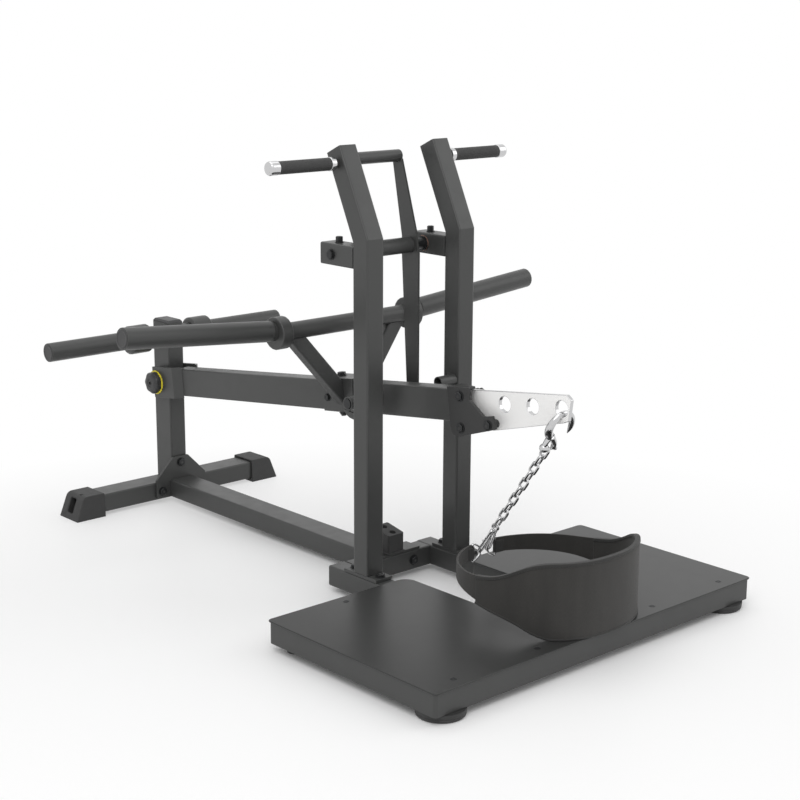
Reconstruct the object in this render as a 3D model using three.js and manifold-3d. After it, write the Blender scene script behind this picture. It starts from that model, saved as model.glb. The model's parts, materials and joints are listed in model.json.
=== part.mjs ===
// A plate-loaded belt squat machine: a lever arm on a rear post carries the weight pegs, and a belt
// hangs from its front end above a standing platform. All lengths are in millimetres.
// X runs across the machine, Y from the platform to the rear post, and Z up.
// Places along Y are counted from the front face of the uprights, until the last group centres them.

import * as THREE from 'three';
import { mergeVertices } from 'three/addons/utils/BufferGeometryUtils.js';
import Module from 'manifold-3d';

const wasm = await Module();
wasm.setup();

// Clearances and fineness of the round shapes
const seatGap = 0.3;
const runningGap = 0.3;
const cutOverrun = 3;
const weldDepth = 1.5;
const roundSides = 20;
const boltSides = 6;
const wireSides = 8;
const chainSides = 6;
const cornerSteps = 2;
const sidePlateCurve = 8;
const levelPlateCurve = 4;

// Square tubes of the frame
const tubeSize = 50;
const tubeWall = 3;
const tubeCorner = 4;
const deepTubeSize = 75;
const baseClearance = 14;
const crossbarClearance = 10;

// Uprights with their foot plates
const uprightSpacing = 284;
const uprightBendRise = 39.5;
const uprightUpperLength = 218;
const uprightLean = THREE.MathUtils.degToRad(25);
const footPlateThickness = 8;
const footPlateFrontReach = 31;
const footPlateRearReach = 34;
const footBoltInset = 13;

// Bolts that hold the plates
const boltHeadRadius = 9;
const boltHeadHeight = 7;
const smallBoltRadius = 7;
const smallBoltHeight = 5;

// Platform
const platformWidth = 1010;
const platformDepth = 531;
const platformTop = 71;
const platformGap = 57;
const deckThickness = 4;
const deckLip = 4;
const skirtBottom = 18;
const skirtWall = 3;
const notchWidth = 192;
const notchDepth = 293;
const notchMouthRadius = 30;
const platformCornerRadius = 12;
const frontFootRadius = 52.5;
const frontFootInsetX = 58;
const frontFootInsetY = 45;
const rearFootRadius = 20;
const rearFootStemRadius = 8;
const rearFootInset = 45;

// Base between the uprights and the rear post
const crossTubeFront = 90;
const crossTubeBoltSide = 61;
const endPlateThickness = 8;
const endPlateBottom = 18;
const endPlateShoulder = 68;
const endPlateTop = 126;
const endPlateHalfWidth = 82;
const endPlateTopHalfWidth = 25;
const endPlateSideBolt = 64;
const endPlateSideBoltHeight = 35;
const endPlateTopBoltHeight = 109;
const crossbarLength = 610;
const capLength = 90;
const capEndWall = 35;
const capSideWall = 8;
const capTopWall = 6;
const capTaper = 25;
const capTopTaper = 3;

// Rubber stop under the arm
const stopPlateWidth = 164;
const stopPlateThickness = 6;
const stopWidth = 50;
const stopOverhang = 5;
const stopFrontHeight = 48;
const stopRearHeight = 60;
const stopRecessRadius = 8.5;
const stopRecessDepth = 9;
const stopRecessSpacing = 31;

// Rear post with its storage pegs
const postHeight = 445;
const postCapHeight = 7;
const postCapBevel = 5;
const postPlugDepth = 20;
const storageHeight = 467;
const storageLength = 353;
const pegRadius = 25;
const pegRecessShare = 0.25;
const pegWall = 3;
const pegEndThickness = 6;
const storageCollarStart = 41;
const storageCollarLength = 67;
const storageCollarRadius = 39;
const storageCollarChamfer = 6;

// Lever carriers behind the uprights, with the shaft between them
const carrierLength = 112.7;
const leverPivotHeight = 811;
const leverPivotBack = 124;
const carrierTopBoltInset = 8;
const carrierTopBoltSpacing = 67;
const carrierRearBoltHeight = 14;
const shaftRadius = 10;
const shaftCollarRadius = 14;
const shaftWasherRadius = 18;
const shaftWasherThickness = 4.5;
const shaftHeadRadius = 10;
const shaftHeadThickness = 7;

// Hand grips on the leaning ends of the uprights
const gripAlongUpright = 184;
const gripNeckRadius = 10.5;
const gripNeckLength = 10.7;
const gripCollarRadius = 15.8;
const gripCollarLength = 12.8;
const gripCoreRadius = 10;
const gripRadius = 14.5;
const gripLength = 144.8;
const gripCapLength = 25;
const gripCapChamfer = 4;

// Short tube that stops the release lever
const stubRadius = 13.5;
const stubWall = 3;
const stubLength = 51;
const stubBack = 15;
const stubHeight = 497;

// Arm: distances are along the arm from its pivot and square to it
const armPivotHeight = 337.5;
const armSlope = THREE.MathUtils.degToRad(7.13);
const armTubeStart = 72;
const armTubeAhead = 318;
const yokeOuterHalf = 44;
const yokeThickness = 8;
const yokeHeight = 86;
const yokeRearReach = 14;
const yokeStraightEnd = 82;
const yokeTaperLength = 23;
const pivotShaftRadius = 15;
const pivotCollarRadius = 22;
const pivotRingRadius = 33;
const pivotRingThickness = 2;
const pivotKnobRadius = 31;
const pivotKnobLength = 19.5;
const pivotKnobChamfer = 3;
const pivotShaftEndReach = 4;
const knobHoleRadius = 4.5;
const knobHoleDepth = 4;

// Weight bar across the arm, with its hubs and tilted pegs
const barInSaddle = 71;
const barRise = 178;
const barRadius = 21;
const barWall = 3;
const barHalfLength = 189.7;
const hubLength = 31;
const hubRadius = 39;
const hubBoreRadius = 15;
const pegTilt = THREE.MathUtils.degToRad(4.94);
const pegRise = 182.5;
const pegNeckEnd = 27;
const pegTiltStart = 204;
const pegReach = 429.5;

// Struts from the arm up to the weight bar, on a saddle bolted round the arm
const strutWidth = 40;
const strutDepth = 30;
const strutWall = 3;
const strutInSaddle = 65;
const strutFootRise = 12;
const strutAngle = THREE.MathUtils.degToRad(50);
const saddleBehind = 148;
const saddleLength = 114;
const saddleThickness = 8;
const saddleTopBoltInset = 38;
const saddleTopBoltRadius = 9.5;
const saddleTopBoltHeight = 9;
const saddleSideBoltInset = 17;
const saddleSideBoltRise = -4;
const saddleLowBoltInset = 69;
const saddleLowBoltHeight = 9;
const saddleSkirt = 1;

// Catch pin with bushes, which rests in the release lever behind the lever's pivot
const catchAlong = 872;
const catchBack = 47.5;
const catchRise = -6;
const catchPinRadius = 12.5;
const catchBushRadius = 17;
const catchHalfLength = 80;
const catchPinReach = 2;

// Bracket and hook plate at the front of the arm, ahead of the catch
const bracketAhead = 289;
const bracketLength = 155;
const bracketHalfHeight = 40;
const bracketThickness = 8.7;
const bracketCoverThickness = 4;
const bracketStrapLength = 20;
const bracketStrapThickness = 5;
const bracketBushRadius = 10;
const hookPlateThickness = 10;
const hookPlateAhead = 332;
const hookPlateLength = 316;
const hookPlateHeight = 92;
const hookPlateTop = 37;
const hookHoleRadius = 18;
const hookHoleRise = 7;
const hookHoleEndInset = 28;
const hookHoleSpacing = 84.5;
const hookHoleCount = 3;

// Release lever
const leverPlateInner = 73;
const leverPlateThickness = 6;
const leverSleeveRadius = 19;
const leverHandleBack = 46;
const leverHandleRise = 206;
const leverHandleRadius = 14.5;
const leverHandleWall = 3;
const leverHandleHalfLength = 80;
const leverWidth = 38;
const leverFrontReach = 31;
const leverFootDepth = 16;
const leverTipReach = 13;
const leverTipThickness = 4;

// Open hook, hung through the front hole of the hook plate
const hookWire = 6.7;
const hookBowlRadius = 28;
const hookLength = 101;
const hookLean = THREE.MathUtils.degToRad(27.5);
const hookEyeRadius = 9;
const hookEyeWire = 3;
const hookRimDrop = 0.9;

// Chain of oval links
const linkCount = 10;
const linkWire = 3;
const linkInnerLength = 25;
const linkInnerWidth = 10;
const linkSink = 0.8;
const linkPlay = 0.8;
const chainLean = THREE.MathUtils.degToRad(35.2);
const linkArcSteps = 4;

// Snap hooks with their D-rings
const snapEyeRadius = 8;
const snapEyeWire = 1.6;
const snapSide = 2.2;
const snapWire = 2.5;
const snapWidth = 11;
const dRingWire = 2.5;
const dRingHeight = 34;
const dRingReach = 22;

// Belt
const beltHalfWidth = 195;
const beltHalfDepth = 198;
const beltCentreForward = 400;
const beltFrontRoundness = 2.3;
const beltRearRoundness = 2;
const beltThickness = 11;
const beltOpening = 80;
const beltRaise = 0.5;
const beltFrontHeight = 169.5;
const beltEdgeRound = 3;
const beltStations = 44;
const beltSectionSize = 8;
const beltTangentShare = 0.125;

// Places worked out from the sizes above
const uprightCentre = uprightSpacing / 2;
const uprightBendHeight = leverPivotHeight + uprightBendRise;
const halfTube = tubeSize / 2;
const baseTop = baseClearance + tubeSize;
const platformRear = -platformGap;
const platformFront = platformRear - platformDepth;
const crossTubeRear = crossTubeFront + tubeSize;
const catchForward = catchAlong * Math.cos(armSlope) - catchRise * Math.sin(armSlope);
const postFront = leverPivotBack + catchBack + catchForward - deepTubeSize / 2;
const postRear = postFront + deepTubeSize;
const postCentre = postFront + deepTubeSize / 2;
const postBottom = crossbarClearance + tubeSize + seatGap;
const postTop = postBottom + postHeight;
const endPlateBack = postFront - seatGap;
const endPlateFace = endPlateBack - endPlateThickness;
const uprightBottom = baseTop + footPlateThickness + 2 * seatGap;
const leverPlateOuter = leverPlateInner + leverPlateThickness;
const saddleOuter = halfTube + seatGap + saddleThickness;
const saddleStart = catchAlong - saddleBehind;
const strutAlong = saddleStart + strutInSaddle;
const barAlong = saddleStart + barInSaddle;
const armTubeEnd = catchAlong + armTubeAhead;
const bracketStart = catchAlong + bracketAhead;
const hookPlateStart = catchAlong + hookPlateAhead;
const hubEnd = barHalfLength + seatGap + hubLength;
const capRear = postRear + capSideWall;
const beltFront = -beltCentreForward - beltHalfDepth;
const machineCentre = (Math.min(beltFront, platformFront) + capRear) / 2;

// Place of a point of the arm in the machine: how far back it lies, and how high.
function armPlace(along, rise) {
  return {
    back: postCentre - along * Math.cos(armSlope) + rise * Math.sin(armSlope),
    height: armPivotHeight + along * Math.sin(armSlope) + rise * Math.cos(armSlope),
  };
}

const catchPlace = armPlace(catchAlong, catchRise);
const catchDrop = leverPivotHeight - catchPlace.height;
const catchAngle = Math.atan2(catchBack, catchDrop);
const leverSeatRadius = Math.hypot(catchBack, catchDrop) + catchBushRadius + seatGap;

const hookHoleAlong = hookPlateStart + hookPlateLength - hookHoleEndInset;
const hookPlace = armPlace(hookHoleAlong, hookHoleRise - hookHoleRadius + hookWire + hookRimDrop);
const eyePlace = {
  back: hookPlace.back + hookLength * Math.sin(hookLean),
  height: hookPlace.height - hookLength * Math.cos(hookLean),
};
const linkPitch = linkInnerLength + linkSink;
const linkArcRadius = linkInnerWidth / 2 + linkWire;
const firstLinkDrop = linkInnerWidth / 2 - hookEyeWire - linkPlay;
const linkStraight = linkInnerLength - linkInnerWidth;
const chainReach = firstLinkDrop + (linkCount - 1) * linkPitch + linkStraight + linkArcRadius;
const chainEnd = {
  back: eyePlace.back + chainReach * Math.sin(chainLean),
  height: eyePlace.height - chainReach * Math.cos(chainLean),
};

// A closed geometry as a solid, with its faces turned outwards.
function solidOf(geometry) {
  const bare = new THREE.BufferGeometry();
  bare.setAttribute('position', geometry.getAttribute('position').clone());
  if (geometry.index) bare.setIndex(geometry.index.clone());
  const merged = mergeVertices(bare, 1e-4);
  const triVerts = new Uint32Array(merged.index.array);
  const vertProperties = new Float32Array(merged.attributes.position.array);
  const corner = (index) => new THREE.Vector3().fromArray(vertProperties, 3 * triVerts[index]);
  let volume = 0;
  for (let i = 0; i < triVerts.length; i += 3) {
    volume += corner(i).dot(corner(i + 1).cross(corner(i + 2)));
  }
  if (volume < 0) {
    for (let i = 0; i < triVerts.length; i += 3) {
      [triVerts[i + 1], triVerts[i + 2]] = [triVerts[i + 2], triVerts[i + 1]];
    }
  }
  return new wasm.Manifold(new wasm.Mesh({ numProp: 3, vertProperties, triVerts }));
}

// A solid as a geometry.
function geometryOf(solid) {
  const mesh = solid.getMesh();
  const geometry = new THREE.BufferGeometry();
  geometry.setAttribute('position', new THREE.BufferAttribute(mesh.vertProperties, 3));
  geometry.setIndex(new THREE.BufferAttribute(mesh.triVerts, 1));
  geometry.computeVertexNormals();
  return geometry;
}

function joined(first, ...others) {
  return geometryOf(others.reduce((sum, other) => sum.add(solidOf(other)), solidOf(first)));
}

function cut(body, ...tools) {
  return geometryOf(tools.reduce((rest, tool) => rest.subtract(solidOf(tool)), solidOf(body)));
}

function moved(geometry, x, y, z) {
  return geometry.clone().translate(x, y, z);
}

function mirrored(geometry) {
  return geometryOf(solidOf(geometry.clone().scale(-1, 1, 1)));
}

// A block between two corners.
function block(x0, x1, y0, y1, z0, z1) {
  const box = new THREE.BoxGeometry(x1 - x0, y1 - y0, z1 - z0);
  return box.translate((x0 + x1) / 2, (y0 + y1) / 2, (z0 + z1) / 2);
}

// A block whose eight corners are given, the bottom four and then the top four, each going round.
function cornerBlock(bottom, top) {
  const geometry = new THREE.BufferGeometry();
  const faces = [0, 2, 1, 0, 3, 2, 4, 5, 6, 4, 6, 7];
  for (let i = 0; i < 4; i += 1) {
    const next = (i + 1) % 4;
    faces.push(i, next, next + 4, i, next + 4, i + 4);
  }
  geometry.setAttribute('position', new THREE.Float32BufferAttribute([...bottom, ...top].flat(), 3));
  geometry.setIndex(faces);
  return geometry;
}

// A turned solid with its axis along X. The profile lists places along X with their radii.
function turned(profile, sides = roundSides) {
  const points = profile.map(([along, radius]) => new THREE.Vector2(radius, along));
  const touchesAxis = profile[0][1] === 0;
  if (!touchesAxis) points.push(points[0].clone());
  return new THREE.LatheGeometry(points, sides).rotateZ(-Math.PI / 2);
}

function rod(start, end, radius, sides = roundSides) {
  return turned([[start, 0], [start, radius], [end, radius], [end, 0]], sides);
}

function pipe(start, end, radius, bore, sides = roundSides) {
  return turned([[start, bore], [start, radius], [end, radius], [end, bore]], sides);
}

// A bolt head that stands on a face. Its axis goes up.
function boltHead(radius, height) {
  return rod(-weldDepth, height, radius, boltSides).rotateY(-Math.PI / 2);
}

// A flat plate whose outline lies across the machine's width: first back, then up.
function sidePlate(shape, thickness) {
  const plate = new THREE.ExtrudeGeometry(shape, { depth: thickness, bevelEnabled: false, curveSegments: sidePlateCurve });
  const turn = new THREE.Matrix4().makeBasis(
    new THREE.Vector3(0, 1, 0),
    new THREE.Vector3(0, 0, 1),
    new THREE.Vector3(1, 0, 0),
  );
  return plate.applyMatrix4(turn);
}

// A flat plate whose outline is seen from above.
function levelPlate(shape, thickness) {
  return new THREE.ExtrudeGeometry(shape, { depth: thickness, bevelEnabled: false, curveSegments: levelPlateCurve });
}

function outline(points) {
  return new THREE.Shape(points.map(([x, y]) => new THREE.Vector2(x, y)));
}

function roundHole(x, y, radius) {
  const hole = new THREE.Path();
  hole.absarc(x, y, radius, 0, 2 * Math.PI, true);
  return hole;
}

// Section points of a bar with rounded corners, and of a round wire.
function rectangleSection(width, height, corner) {
  const points = [];
  for (let quarter = 0; quarter < 4; quarter += 1) {
    const sideX = quarter === 0 || quarter === 3 ? 1 : -1;
    const sideY = quarter < 2 ? 1 : -1;
    for (let step = 0; step <= cornerSteps; step += 1) {
      const angle = ((quarter + step / cornerSteps) * Math.PI) / 2;
      points.push([
        sideX * (width / 2 - corner) + corner * Math.cos(angle),
        sideY * (height / 2 - corner) + corner * Math.sin(angle),
      ]);
    }
  }
  return points;
}

function roundSection(radius, sides) {
  return Array.from({ length: sides }, (_, i) => {
    const angle = (2 * Math.PI * i) / sides;
    return [radius * Math.cos(angle), radius * Math.sin(angle)];
  });
}

// A section carried along a flat path. Its first coordinate lies in the path's plane, and its
// second along the plane's normal. Corners of the path are mitred.
function swept(path, normal, section, closed = false) {
  const positions = [];
  const faces = [];
  const count = path.length;
  const size = section.length;
  path.forEach((point, i) => {
    const before = path[closed ? (i + count - 1) % count : Math.max(i - 1, 0)];
    const after = path[closed ? (i + 1) % count : Math.min(i + 1, count - 1)];
    const incoming = point.clone().sub(before).normalize();
    const outgoing = after.clone().sub(point).normalize();
    if (incoming.lengthSq() === 0) incoming.copy(outgoing);
    if (outgoing.lengthSq() === 0) outgoing.copy(incoming);
    const tangent = incoming.clone().add(outgoing).normalize();
    const stretch = 1 / tangent.dot(incoming);
    const side = new THREE.Vector3().crossVectors(normal, tangent).multiplyScalar(stretch);
    for (const [inPlane, across] of section) {
      const vertex = point.clone().addScaledVector(side, inPlane).addScaledVector(normal, across);
      positions.push(vertex.x, vertex.y, vertex.z);
    }
  });
  const rings = closed ? count : count - 1;
  for (let ring = 0; ring < rings; ring += 1) {
    const here = ring * size;
    const next = ((ring + 1) % count) * size;
    for (let k = 0; k < size; k += 1) {
      const turn = (k + 1) % size;
      faces.push(here + k, here + turn, next + turn, here + k, next + turn, next + k);
    }
  }
  if (!closed) {
    const last = (count - 1) * size;
    for (let k = 1; k < size - 1; k += 1) {
      faces.push(0, k + 1, k);
      faces.push(last, last + k, last + k + 1);
    }
  }
  const geometry = new THREE.BufferGeometry();
  geometry.setAttribute('position', new THREE.Float32BufferAttribute(positions, 3));
  geometry.setIndex(faces);
  return geometry;
}

function pathOf(points) {
  return points.map(([x, y, z]) => new THREE.Vector3(x, y, z));
}

// A rectangular tube along a flat path, open at both ends unless its last end is closed.
function boxTube({ points, normal, width, height, wall = tubeWall, corner = tubeCorner, closedEnd = false }) {
  const path = pathOf(points);
  const inner = pathOf(points);
  const start = path[0].clone().sub(path[1]).normalize();
  const end = path[path.length - 1].clone().sub(path[path.length - 2]).normalize();
  inner[0].addScaledVector(start, cutOverrun);
  inner[inner.length - 1].addScaledVector(end, closedEnd ? -wall : cutOverrun);
  const innerCorner = Math.max(corner - wall, wall / 2);
  return cut(
    swept(path, normal, rectangleSection(width, height, corner)),
    swept(inner, normal, rectangleSection(width - 2 * wall, height - 2 * wall, innerCorner)),
  );
}

function ovalPath(straight, radius, steps) {
  const points = [];
  for (let half = 0; half < 2; half += 1) {
    const way = half === 0 ? 1 : -1;
    for (let step = 0; step <= steps; step += 1) {
      const angle = half * Math.PI + (step * Math.PI) / steps;
      points.push([radius * Math.cos(angle), 0, (way * straight) / 2 + radius * Math.sin(angle)]);
    }
  }
  return pathOf(points);
}

const acrossX = new THREE.Vector3(1, 0, 0);
const acrossY = new THREE.Vector3(0, 1, 0);
const acrossZ = new THREE.Vector3(0, 0, 1);

// Materials
function material(color, roughness, metalness) {
  return new THREE.MeshStandardMaterial({ color, roughness, metalness });
}

const frameFinish = () => material(0x4b4c4b, 0.45, 0.2);
const chromeFinish = () => material(0xe2e2e4, 0.12, 1);
const rubberFinish = () => material(0x242424, 0.8, 0);
const plasticFinish = () => material(0x2b2b2b, 0.5, 0);
const boltFinish = () => material(0x232424, 0.4, 0.5);
const beltFinish = () => material(0x34322f, 0.75, 0);

function add(group, name, geometry, finish) {
  const mesh = new THREE.Mesh(geometryOf(solidOf(geometry)), finish());
  mesh.name = name;
  group.add(mesh);
  return mesh;
}

// The same piece on both sides of the machine.
function addPair(group, name, geometry, finish) {
  add(group, `${name}_right`, geometry, finish);
  add(group, `${name}_left`, mirrored(geometry), finish);
}

// Outline of the platform seen from above, drawn inwards by an inset. The notch grows by it.
function platformOutline(inset) {
  const side = platformWidth / 2 - inset;
  const front = platformFront + inset;
  const rear = platformRear - inset;
  const notchSide = notchWidth / 2 + inset;
  const notchEnd = platformRear - notchDepth - inset;
  const corner = platformCornerRadius - inset;
  const mouth = notchMouthRadius - inset;
  const shape = new THREE.Shape();
  shape.moveTo(-side + corner, front);
  shape.lineTo(side - corner, front);
  shape.absarc(side - corner, front + corner, corner, -Math.PI / 2, 0, false);
  shape.lineTo(side, rear - corner);
  shape.absarc(side - corner, rear - corner, corner, 0, Math.PI / 2, false);
  shape.lineTo(notchSide + mouth, rear);
  shape.absarc(notchSide + mouth, rear - mouth, mouth, Math.PI / 2, Math.PI, false);
  shape.lineTo(notchSide, notchEnd);
  shape.lineTo(-notchSide, notchEnd);
  shape.lineTo(-notchSide, rear - mouth);
  shape.absarc(-notchSide - mouth, rear - mouth, mouth, 0, Math.PI / 2, false);
  shape.lineTo(-side + corner, rear);
  shape.absarc(-side + corner, rear - corner, corner, Math.PI / 2, Math.PI, false);
  shape.lineTo(-side, front + corner);
  shape.absarc(-side + corner, front + corner, corner, Math.PI, 1.5 * Math.PI, false);
  return shape;
}

function addPlatform(frame) {
  const deckBottom = platformTop - deckThickness;
  const deck = moved(levelPlate(platformOutline(0), deckThickness), 0, 0, deckBottom);
  add(frame, 'platform_deck', deck, frameFinish);

  const skirtHeight = deckBottom - seatGap - skirtBottom;
  const outside = levelPlate(platformOutline(deckLip), skirtHeight);
  const inside = levelPlate(platformOutline(deckLip + skirtWall), skirtHeight + 2 * cutOverrun);
  const skirt = cut(outside, moved(inside, 0, 0, -cutOverrun));
  add(frame, 'platform_skirt', moved(skirt, 0, 0, skirtBottom), frameFinish);

  const frontFoot = rod(0, skirtBottom - seatGap, frontFootRadius).rotateY(-Math.PI / 2);
  const frontFootX = platformWidth / 2 - frontFootInsetX;
  const frontFootY = platformFront + frontFootInsetY;
  addPair(frame, 'front_foot', moved(frontFoot, frontFootX, frontFootY, 0), rubberFinish);

  const stemTop = deckBottom - seatGap;
  const rearFoot = turned([
    [0, 0],
    [0, rearFootRadius],
    [skirtBottom, rearFootRadius],
    [skirtBottom, rearFootStemRadius],
    [stemTop, rearFootStemRadius],
    [stemTop, 0],
  ]).rotateY(-Math.PI / 2);
  const rearFootX = platformWidth / 2 - rearFootInset;
  addPair(frame, 'rear_foot', moved(rearFoot, rearFootX, platformRear - rearFootInset, 0), rubberFinish);
}

function addBase(frame) {
  const middle = baseClearance + halfTube;
  const sideTube = boxTube({
    points: [
      [uprightCentre, platformRear - deckLip + seatGap, middle],
      [uprightCentre, crossTubeRear, middle],
    ],
    normal: acrossX,
    width: tubeSize,
    height: tubeSize,
  });
  addPair(frame, 'side_base_tube', sideTube, frameFinish);

  const crossHalf = uprightCentre - halfTube - seatGap;
  const crossMiddle = crossTubeFront + halfTube;
  const crossTube = boxTube({
    points: [[-crossHalf, crossMiddle, middle], [crossHalf, crossMiddle, middle]],
    normal: acrossZ,
    width: tubeSize,
    height: tubeSize,
  });
  const crossBolt = boltHead(boltHeadRadius, boltHeadHeight).rotateX(Math.PI / 2);
  const crossBolts = [-1, 1].map((side) => moved(crossBolt, side * crossTubeBoltSide, crossTubeFront, middle));
  add(frame, 'base_cross_tube', joined(crossTube, ...crossBolts), frameFinish);

  const beam = boxTube({
    points: [[0, crossTubeRear + seatGap, middle], [0, endPlateFace - seatGap, middle]],
    normal: acrossX,
    width: tubeSize,
    height: deepTubeSize,
  });
  add(frame, 'base_beam', beam, frameFinish);
}

function addArmStop(frame) {
  const plateBottom = baseTop + seatGap;
  const plateTop = plateBottom + stopPlateThickness;
  const half = stopPlateWidth / 2;
  const plate = block(-half, half, crossTubeFront, crossTubeRear, plateBottom, plateTop);
  add(frame, 'arm_stop_plate', plate, frameFinish);

  const side = stopWidth / 2;
  const front = crossTubeFront - stopOverhang;
  const rear = crossTubeRear + stopOverhang;
  const bottom = plateTop + seatGap;
  const frontTop = bottom + stopFrontHeight;
  const rearTop = bottom + stopRearHeight;
  const body = cornerBlock(
    [[-side, front, bottom], [side, front, bottom], [side, rear, bottom], [-side, rear, bottom]],
    [[-side, front, frontTop], [side, front, frontTop], [side, rear, rearTop], [-side, rear, rearTop]],
  );
  const middle = (crossTubeFront + crossTubeRear) / 2;
  const middleTop = (frontTop + rearTop) / 2;
  const topSlope = Math.atan2(rearTop - frontTop, rear - front);
  const recess = rod(-stopRecessDepth, stopRearHeight, stopRecessRadius, wireSides).rotateY(-Math.PI / 2);
  const recesses = [-1, 1].map((way) => {
    const offset = (way * stopRecessSpacing) / 2;
    return moved(recess, 0, middle + offset, middleTop + offset * Math.tan(topSlope));
  });
  add(frame, 'arm_stop', cut(body, ...recesses), rubberFinish);
}

function addRearBase(frame) {
  const plateShape = outline([
    [-endPlateHalfWidth, endPlateBottom],
    [endPlateHalfWidth, endPlateBottom],
    [endPlateHalfWidth, endPlateShoulder],
    [endPlateTopHalfWidth, endPlateTop],
    [-endPlateTopHalfWidth, endPlateTop],
    [-endPlateHalfWidth, endPlateShoulder],
  ]);
  const plate = levelPlate(plateShape, endPlateThickness).rotateX(Math.PI / 2);
  const head = boltHead(boltHeadRadius, boltHeadHeight).rotateX(Math.PI / 2);
  const endPlate = joined(
    moved(plate, 0, endPlateBack, 0),
    moved(head, 0, endPlateFace, endPlateTopBoltHeight),
    moved(head, endPlateSideBolt, endPlateFace, endPlateSideBoltHeight),
    moved(head, -endPlateSideBolt, endPlateFace, endPlateSideBoltHeight),
  );
  add(frame, 'rear_end_plate', endPlate, frameFinish);

  const barMiddle = crossbarClearance + halfTube;
  const crossbarEnd = crossbarLength / 2;
  const crossbar = boxTube({
    points: [[-crossbarEnd, postCentre, barMiddle], [crossbarEnd, postCentre, barMiddle]],
    normal: acrossZ,
    width: deepTubeSize,
    height: tubeSize,
  });
  add(frame, 'rear_crossbar', crossbar, frameFinish);

  const outer = crossbarEnd + capEndWall;
  const inner = outer - capLength;
  const front = postFront - capSideWall;
  const top = crossbarClearance + tubeSize + capTopWall;
  const capBody = cornerBlock(
    [[inner, front, 0], [outer, front, 0], [outer, capRear, 0], [inner, capRear, 0]],
    [
      [inner, front + capTopTaper, top],
      [outer - capTaper, front + capTopTaper, top],
      [outer - capTaper, capRear - capTopTaper, top],
      [inner, capRear - capTopTaper, top],
    ],
  );
  const pocket = block(
    inner - cutOverrun,
    crossbarEnd + seatGap,
    postFront - seatGap,
    postRear + seatGap,
    crossbarClearance - seatGap,
    crossbarClearance + tubeSize + seatGap,
  );
  addPair(frame, 'crossbar_cap', cut(capBody, pocket), rubberFinish);
}

function addRearPost(frame) {
  const tube = boxTube({
    points: [[0, postCentre, postBottom], [0, postCentre, postTop]],
    normal: acrossX,
    width: deepTubeSize,
    height: tubeSize,
  });
  const bore = rod(-tubeSize, tubeSize, pivotShaftRadius + runningGap);
  add(frame, 'rear_post', cut(tube, moved(bore, 0, postCentre, armPivotHeight)), frameFinish);

  const capBottom = postTop + seatGap;
  const halfDepth = deepTubeSize / 2;
  const ring = (halfX, halfY, z) => [
    [-halfX, postCentre - halfY, z],
    [halfX, postCentre - halfY, z],
    [halfX, postCentre + halfY, z],
    [-halfX, postCentre + halfY, z],
  ];
  const cap = cornerBlock(
    ring(halfTube, halfDepth, capBottom),
    ring(halfTube - postCapBevel, halfDepth - postCapBevel, capBottom + postCapHeight),
  );
  const plugX = halfTube - tubeWall - seatGap - tubeCorner / 2;
  const plugY = halfDepth - tubeWall - seatGap - tubeCorner / 2;
  const plug = block(
    -plugX,
    plugX,
    postCentre - plugY,
    postCentre + plugY,
    capBottom - postPlugDepth,
    capBottom + weldDepth,
  );
  add(frame, 'rear_post_cap', joined(cap, plug), plasticFinish);

  const start = halfTube + seatGap;
  const collarStart = start + storageCollarStart;
  const collarEnd = collarStart + storageCollarLength;
  const end = start + storageLength;
  const peg = turned([
    [start, pegRadius - pegWall],
    [start, pegRadius],
    [collarStart, pegRadius],
    [collarStart, storageCollarRadius - storageCollarChamfer],
    [collarStart + storageCollarChamfer, storageCollarRadius],
    [collarEnd - storageCollarChamfer, storageCollarRadius],
    [collarEnd, storageCollarRadius - storageCollarChamfer],
    [collarEnd, pegRadius],
    [end, pegRadius],
    [end, pegRadius / 2],
    [end, pegRadius * pegRecessShare],
    [end - pegEndThickness, pegRadius * pegRecessShare],
    [end - pegEndThickness, pegRadius - pegWall],
  ]);
  addPair(frame, 'storage_peg', moved(peg, 0, postCentre, storageHeight), frameFinish);
}

function addUprights(frame) {
  const bendTop = {
    back: halfTube + uprightUpperLength * Math.sin(uprightLean),
    height: uprightBendHeight + uprightUpperLength * Math.cos(uprightLean),
  };
  const upright = boxTube({
    points: [
      [uprightCentre, halfTube, uprightBottom],
      [uprightCentre, halfTube, uprightBendHeight],
      [uprightCentre, bendTop.back, bendTop.height],
    ],
    normal: acrossX,
    width: tubeSize,
    height: tubeSize,
    closedEnd: true,
  });
  addPair(frame, 'upright', upright, frameFinish);

  const plateBottom = baseTop + seatGap;
  const plateTop = plateBottom + footPlateThickness;
  const inner = uprightCentre - halfTube;
  const outer = uprightCentre + halfTube;
  const front = -footPlateFrontReach;
  const rear = tubeSize + footPlateRearReach;
  const head = boltHead(boltHeadRadius, boltHeadHeight);
  const footPlate = joined(
    block(inner, outer, front, rear, plateBottom, plateTop),
    moved(head, uprightCentre, front + footBoltInset, plateTop),
    moved(head, uprightCentre, rear - footBoltInset, plateTop),
  );
  addPair(frame, 'foot_plate', footPlate, frameFinish);
}

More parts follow.
